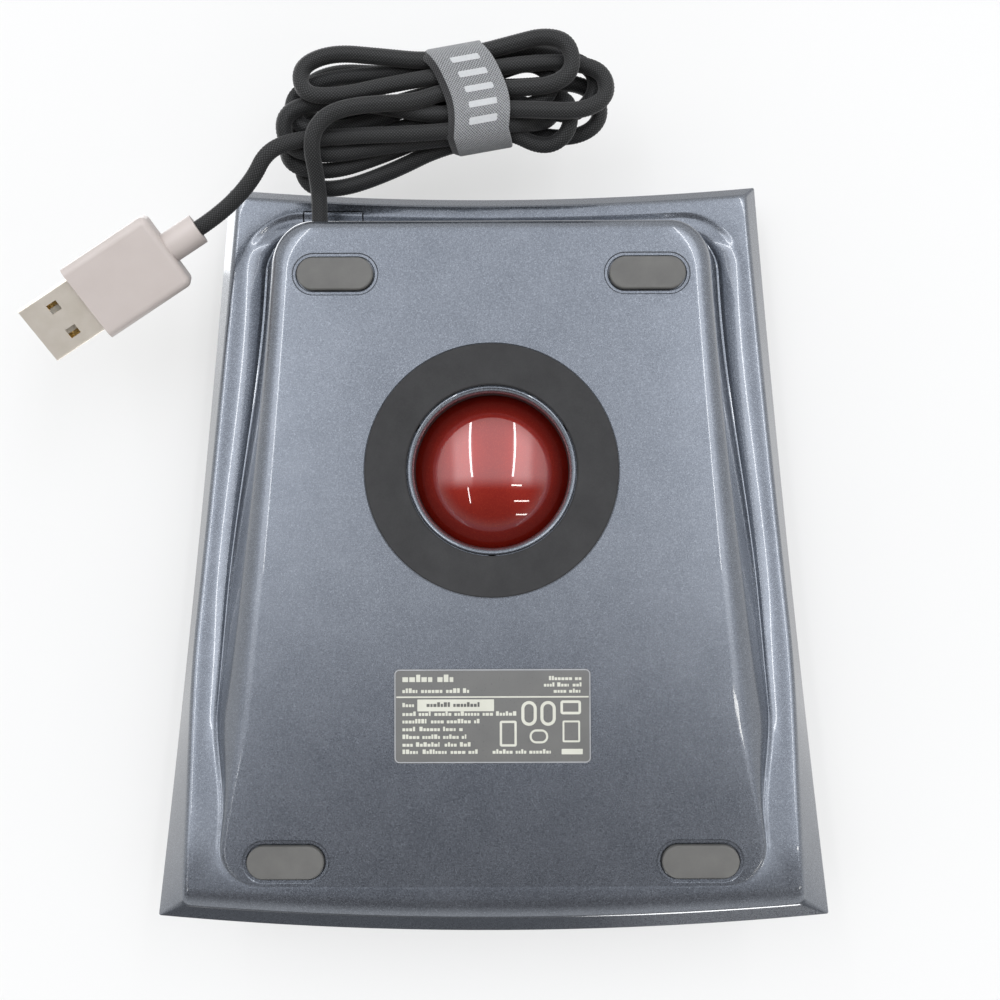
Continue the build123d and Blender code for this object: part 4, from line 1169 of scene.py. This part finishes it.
# ---------------------------------------------------------------- label print
PRINT_DEPTH = 0.03  # the ink stands this far below the label's face
PRINT_BACK = 0.02  # and is sunk this far into it
# places on the label are distances from its middle, as read from below
PRINTED_LINES = (  # left, right, middle height, height of the strokes, seed
    (-17.5, -7.6, 7.1, 1.5, 1),
    (-17.5, -4.3, 4.8, 0.95, 2),
    (11.0, 17.3, 7.2, 0.85, 10),
    (10.0, 17.3, 5.95, 0.85, 11),
    (11.9, 17.3, 4.75, 0.85, 12),
    (-17.5, -15.2, 2.05, 0.85, 20),
    (-17.5, 4.8, 0.35, 0.9, 30),
    (-17.5, -2.5, -1.1, 0.9, 31),
    (-17.5, -5.5, -2.6, 0.9, 32),
    (-17.5, -5.1, -4.1, 0.9, 33),
    (-17.5, -4.2, -5.6, 0.9, 34),
    (-17.5, -2.7, -7.0, 0.9, 35),
    (0.0, 11.3, -7.0, 0.9, 40),
)
NUMBER = (-12.8, -2.2, 2.1, 0.95, 21)
BARS = (  # left, right, middle height, height, corner radius
    (-18.7, 18.7, 3.7, 0.28, 0.084),
    (-14.6, 0.3, 2.1, 2.3, 0.1),
    (13.4, 17.5, -6.9, 1.05, 0.1),
)
FRAMES = (  # left, right, low, high, line width, corner radius
    (1.4, 4.7, -5.9, -0.9, 0.45, 0.4),
    (5.6, 8.6, -1.9, 2.9, 0.6, 1.49),
    (9.3, 12.3, -1.9, 2.9, 0.6, 1.49),
    (13.2, 17.2, 0.3, 3.0, 0.5, 0.5),
    (7.2, 10.8, -5.3, -2.6, 0.4, 1.3),
    (13.6, 17.0, -5.1, -0.9, 0.35, 0.3),
)
# the light line round the label's edge is a painted highlight of its bevelled recess, not print
EDGE_HIGHLIGHT_FRAME = (-19.02, 19.02, -9.02, 9.02, 0.16, 0.95)


def label_bar(left, right, middle, height, corner):
    """Filled bar on the label."""
    centre = (LABEL_CENTRE[0] - (left + right) / 2, LABEL_CENTRE[1] + middle)
    size = (right - left, height)
    rings = [box_ring(centre, size, corner, UNDERSIDE_Z + z, 3) for z in (-PRINT_DEPTH, PRINT_BACK)]
    return capped_loft(rings)


def label_frame(left, right, low, high, width, corner):
    """Rounded outline of constant width on the label."""
    centre = (LABEL_CENTRE[0] - (left + right) / 2, LABEL_CENTRE[1] + (low + high) / 2)
    size = (right - left, high - low)
    outside = box_ring(centre, size, corner, 0.0, 8)
    inner_size = (size[0] - 2 * width, size[1] - 2 * width)
    inside = box_ring(centre, inner_size, max(corner - width, 0.02), 0.0, 8)
    section = ((outside, PRINT_BACK), (outside, -PRINT_DEPTH), (inside, -PRINT_DEPTH), (inside, PRINT_BACK))
    return looped_loft([at_height(ring, UNDERSIDE_Z + z) for ring, z in section])


def word_bars(left, right, middle, height, seed):
    """A line of unreadable print: strokes in groups, as long as words are."""
    draw = np.random.default_rng(seed)
    bars, at = [], left
    while at < right - 0.5:
        word_end = min(at + height * draw.uniform(2.2, 5.5), right)
        while at < word_end - 0.2:
            wide = height * draw.uniform(0.42, 0.75)
            tall = height * draw.choice((0.62, 0.62, 0.62, 0.95))
            rise = (tall - 0.62 * height) / 2
            bars.append(label_bar(at, min(at + wide, word_end), middle + rise, tall, 0.05))
            at += wide + height * 0.16
        at += height * 0.5
    return bars


def nearer_desk(points, faces):
    """The same print over the print that it lies on."""
    return points - np.array([0.0, 0.0, PRINT_DEPTH]), faces


def make_label():
    """Generic print: heading, lines of strokes, a box for a number and plain shapes, and a light line round
    the edge that is a painted highlight.
    """
    light = [bar for line in PRINTED_LINES for bar in word_bars(*line)]
    light += [label_bar(*row) for row in BARS] + [label_frame(*row) for row in FRAMES]
    number = [nearer_desk(*bar) for bar in word_bars(*NUMBER)]
    for name, parts, material in (
        ("label_print", light, PRINT),
        ("label_number", number, INK),
        ("label_edge_highlight", [label_frame(*EDGE_HIGHLIGHT_FRAME)], EDGE_HIGHLIGHT_PAINT),
    ):
        finish_piece(make_piece(name, *join_surfaces(parts)), material)


make_label()


# ---------------------------------------------------------------- looks of the CAD nodes that stay
def four(kind):
    """Names of the four nodes of a kind, one at each corner of the body."""
    return [f"{kind}_{end}_{side}" for end in ("front", "rear") for side in ("left", "right")]


LOOKS = {
    PAINT: four("button"),
    BEZEL: ["ball_bezel"],
    BLACK: ["top_frame", "ball_cup", "cable_grommet"],
    RED: ["ball"],
    CERAMIC: ["bearing_balls"],
    GRIP: ["ring_pad"],
    PAD: four("foot"),
    STEEL: ["case_screws", "cup_screws", "board_screws", "button_hinge_pins"],
    BOARD: ["main_board", "front_board", "sensor_board_left", "sensor_board_right"],
    CHIP: ["controller_chip", "sensor_chip_left", "sensor_chip_right", *four("switch")],
    LENS: ["sensor_lens_left", "sensor_lens_right"],
    CONNECTOR: ["cable_header", "plug_insert", *four("plunger")],
    RIBBON: ["board_link_cable"],
    SHEATH: ["cable_inner_lead"],
    PLUG_METAL: ["plug_shell"],
    GREIGE: ["plug_overmold"],
    GOLD: ["plug_contacts"],
    LABEL: ["rating_label"],
}
BUTTON_EDGE = 0.45
for material, names in LOOKS.items():
    for name in names:
        paint_with(NODES[name], material)
for name in four("button"):
    bevelled(NODES[name], BUTTON_EDGE, 40)


# ---------------------------------------------------------------- camera
LENS_MM = 40.25
CAMERA_AT = (-2.266, 4.030, -217.269)
PITCH, YAW, ROLL = math.radians(1.249), math.radians(-0.175), math.radians(0.197)


def turned_pair(first, second, angle):
    """Two directions square to each other, turned together by an angle."""
    c, s = math.cos(angle), math.sin(angle)
    return first * c + second * s, second * c - first * s


def make_camera():
    """Camera under the object, looking up at its underside with the rear at the top of the picture."""
    ahead = Vector((0, math.sin(PITCH), math.cos(PITCH)))
    up = Vector((0, math.cos(PITCH), -math.sin(PITCH)))
    right = Vector((-1, 0, 0))
    ahead, right = turned_pair(ahead, right, YAW)
    up, right = turned_pair(up, right, ROLL)
    data = bpy.data.cameras.new("camera")
    data.lens = LENS_MM
    data.sensor_width = 36.0
    data.clip_start = 0.01
    camera = add_object("camera", data)
    facing = Matrix((right, up, -ahead)).transposed().to_4x4()
    camera.matrix_world = Matrix.Translation(Vector(CAMERA_AT) * MM) @ facing
    bpy.context.scene.camera = camera


make_camera()


# ---------------------------------------------------------------- floor, backdrop and light
def one_sided(name, z, size, facing, colour, glow):
    """Pale sheet at height z that only shows from its front, so that it never hides the object."""
    sign = 1 if facing == "up" else -1
    corners = [(x * size * MM, y * size * sign * MM, z * MM) for x, y in ((-1, -1), (1, -1), (1, 1), (-1, 1))]
    mesh = bpy.data.meshes.new(name)
    mesh.from_pydata(corners, [], [(0, 1, 2, 3)])
    sheet = add_object(name, mesh)
    look = Look(name, Roughness=0.85, Specular_IOR_Level=0.15)
    look.put(look.shader, "Emission Color", (1.0, 1.0, 0.99))
    look.put(look.shader, "Emission Strength", glow)
    look.colour(look.clouded(look.noise(60.0, 3.0), colour, tuple(c * 0.985 for c in colour)))
    behind = look.node("ShaderNodeNewGeometry").outputs["Backfacing"]
    clear = look.node("ShaderNodeBsdfTransparent").outputs["BSDF"]
    mixed = look.node("ShaderNodeMixShader", {0: behind, 1: look.shader.outputs["BSDF"], 2: clear})
    look.put(look.tree.nodes["Material Output"], "Surface", mixed.outputs["Shader"])
    mesh.materials.append(look.material)
    sheet.visible_shadow = False
    sheet.visible_diffuse = False
    sheet.visible_glossy = False
    sheet.visible_transmission = False


WHITE = (1.0, 1.0, 1.0)


def area_light(name, place, target, size, power, colour=WHITE):
    """Rectangular lamp of a size in mm and a power in watts, facing its target."""
    data = bpy.data.lights.new(name, "AREA")
    data.shape = "RECTANGLE"
    data.size, data.size_y = size[0] * MM, size[1] * MM
    data.energy = power
    data.color = colour
    light = add_object(name, data)
    light.location = Vector(place) * MM
    light.rotation_mode = "QUATERNION"
    light.rotation_quaternion = (Vector(target) - Vector(place)).to_track_quat("-Z", "Y")
    return light


# the surroundings. Spans are values of a direction's X, Y or Z between which one colour fades into the next
FRONT_BELOW = (0.09, 0.075, 0.07)
REAR_BELOW = (1.30, 1.34, 1.42)
SIDE_BELOW = (2.60, 2.65, 2.75)
ALL_ROUND = (0.90, 0.90, 0.90)
FRONT_ABOVE = (0.10, 0.105, 0.115)
REAR_ABOVE = (0.45, 0.46, 0.48)
OVERHEAD = (0.50, 0.50, 0.51)
SEEN_BEHIND = (0.76, 0.76, 0.765)
FRONT_SPAN = (-0.75, -0.50)
REAR_SPAN = (0.45, 0.70)
OVERHEAD_SPAN = (0.74, 0.90)
LEVEL_SPAN = (-0.05, 0.25)
SIDE_STARTS = (0.27, 0.34)
SIDE_ENDS = (0.50, 0.62)
BELOW_REAR_SPAN = (-0.25, 0.0)
BELOW_SPAN = (-0.80, -0.50)


def make_world():
    """White surroundings. Below the object they are bright towards the rear, more so at the sides, and dark
    towards the front. What the camera sees of them is one pale grey."""
    world = bpy.data.worlds.new("studio")
    world.use_nodes = True
    bpy.context.scene.world = world
    sky = Tree(world.node_tree)
    sky.tree.nodes.clear()
    generated = sky.node("ShaderNodeTexCoord").outputs["Generated"]
    x, y, z = sky.node("ShaderNodeSeparateXYZ", {"Vector": generated}).outputs
    beside = sky.math("ABSOLUTE", x)

    def fade(value, span, first, second):
        """first before the span, second after it."""
        return sky.mix(sky.span(value, *span, interpolation_type="SMOOTHSTEP"), first, second)

    above = fade(y, REAR_SPAN, fade(y, FRONT_SPAN, FRONT_ABOVE, ALL_ROUND), REAR_ABOVE)
    above = fade(z, LEVEL_SPAN, ALL_ROUND, fade(z, OVERHEAD_SPAN, above, OVERHEAD))
    rear = fade(beside, SIDE_STARTS, REAR_BELOW, fade(beside, SIDE_ENDS, SIDE_BELOW, REAR_BELOW))
    below = fade(y, BELOW_REAR_SPAN, FRONT_BELOW, rear)
    around = fade(z, BELOW_SPAN, below, above)
    seen = sky.node("ShaderNodeLightPath").outputs["Is Camera Ray"]
    back = sky.node("ShaderNodeBackground", {"Color": sky.mix(seen, around, SEEN_BEHIND), "Strength": 1.0})
    sky.node("ShaderNodeOutputWorld", {"Surface": back.outputs["Background"]})


LAMP_DEPTH = 1500.0  # lamps are this far below the desk


def lamp_place(x, y):
    """Point of the lamps' plane in a direction from the ball, given by the unit direction's x and y."""
    drop = math.sqrt(1 - x * x - y * y)
    return (x / drop * LAMP_DEPTH, BALL_Y + y / drop * LAMP_DEPTH, -LAMP_DEPTH)


def strip_light(name, start, end, width, radiance, colour=WHITE):
    """Narrow lamp between two points of a plane below the object, facing it."""
    a, b = Vector(start), Vector(end)
    middle, ball, length = (a + b) / 2, Vector((0, BALL_Y, 0)), (b - a).length
    power = radiance * math.pi * width * length * MM * MM
    light = area_light(name, middle, ball, (width, length), power, colour)
    back = (middle - ball).normalized()
    side = (b - a).cross(back).normalized()
    light.rotation_quaternion = Matrix((side, back.cross(side), back)).transposed().to_quaternion()


FLOOR = {"z": 0.0, "size": 12000.0, "facing": "up", "colour": (0.70, 0.70, 0.697), "glow": 0.28}
BACKDROP = {"z": 36.0, "size": 160.0, "facing": "down", "colour": (0.42, 0.42, 0.418), "glow": 0.48}
BODY_MIDDLE = (0, 0, 20)
WARM = (1.0, 0.98, 0.93)
COOL = (0.98, 0.99, 1.0)
WINDOW_WIDTH = 55
LEFT_LAMP_WIDTH = 30
RIGHT_LAMP_WIDTH = 36
RIGHT_LAMPS = ((-0.36, -0.17, 0.07), (-0.42, -0.40, 0.09), (-0.44, -0.58, 0.09))  # x, y and half length

one_sided("floor", **FLOOR)
one_sided("backdrop", **BACKDROP)
make_world()
for name, side in (("window_left", 1), ("window_right", -1)):
    strip_light(name, lamp_place(0.30 * side, -0.09), lamp_place(0.31 * side, 0.66), WINDOW_WIDTH, 11.0)
strip_light("lamp_left", lamp_place(0.37, -0.20), lamp_place(0.33, -0.42), LEFT_LAMP_WIDTH, 11.0)
for k, (x, y, reach) in enumerate(RIGHT_LAMPS):
    start, end = lamp_place(x + reach, y), lamp_place(x - reach, y + 0.012 * k)
    strip_light(f"lamp_right_{k}", start, end, RIGHT_LAMP_WIDTH, 13.0, WARM)
area_light("high_front", (-250, -380, 480), BODY_MIDDLE, (460, 380), 1.7)
area_light("high_rear", (320, 330, 420), BODY_MIDDLE, (380, 320), 0.9, COOL)
bpy.context.scene.view_settings.view_transform = "Standard"
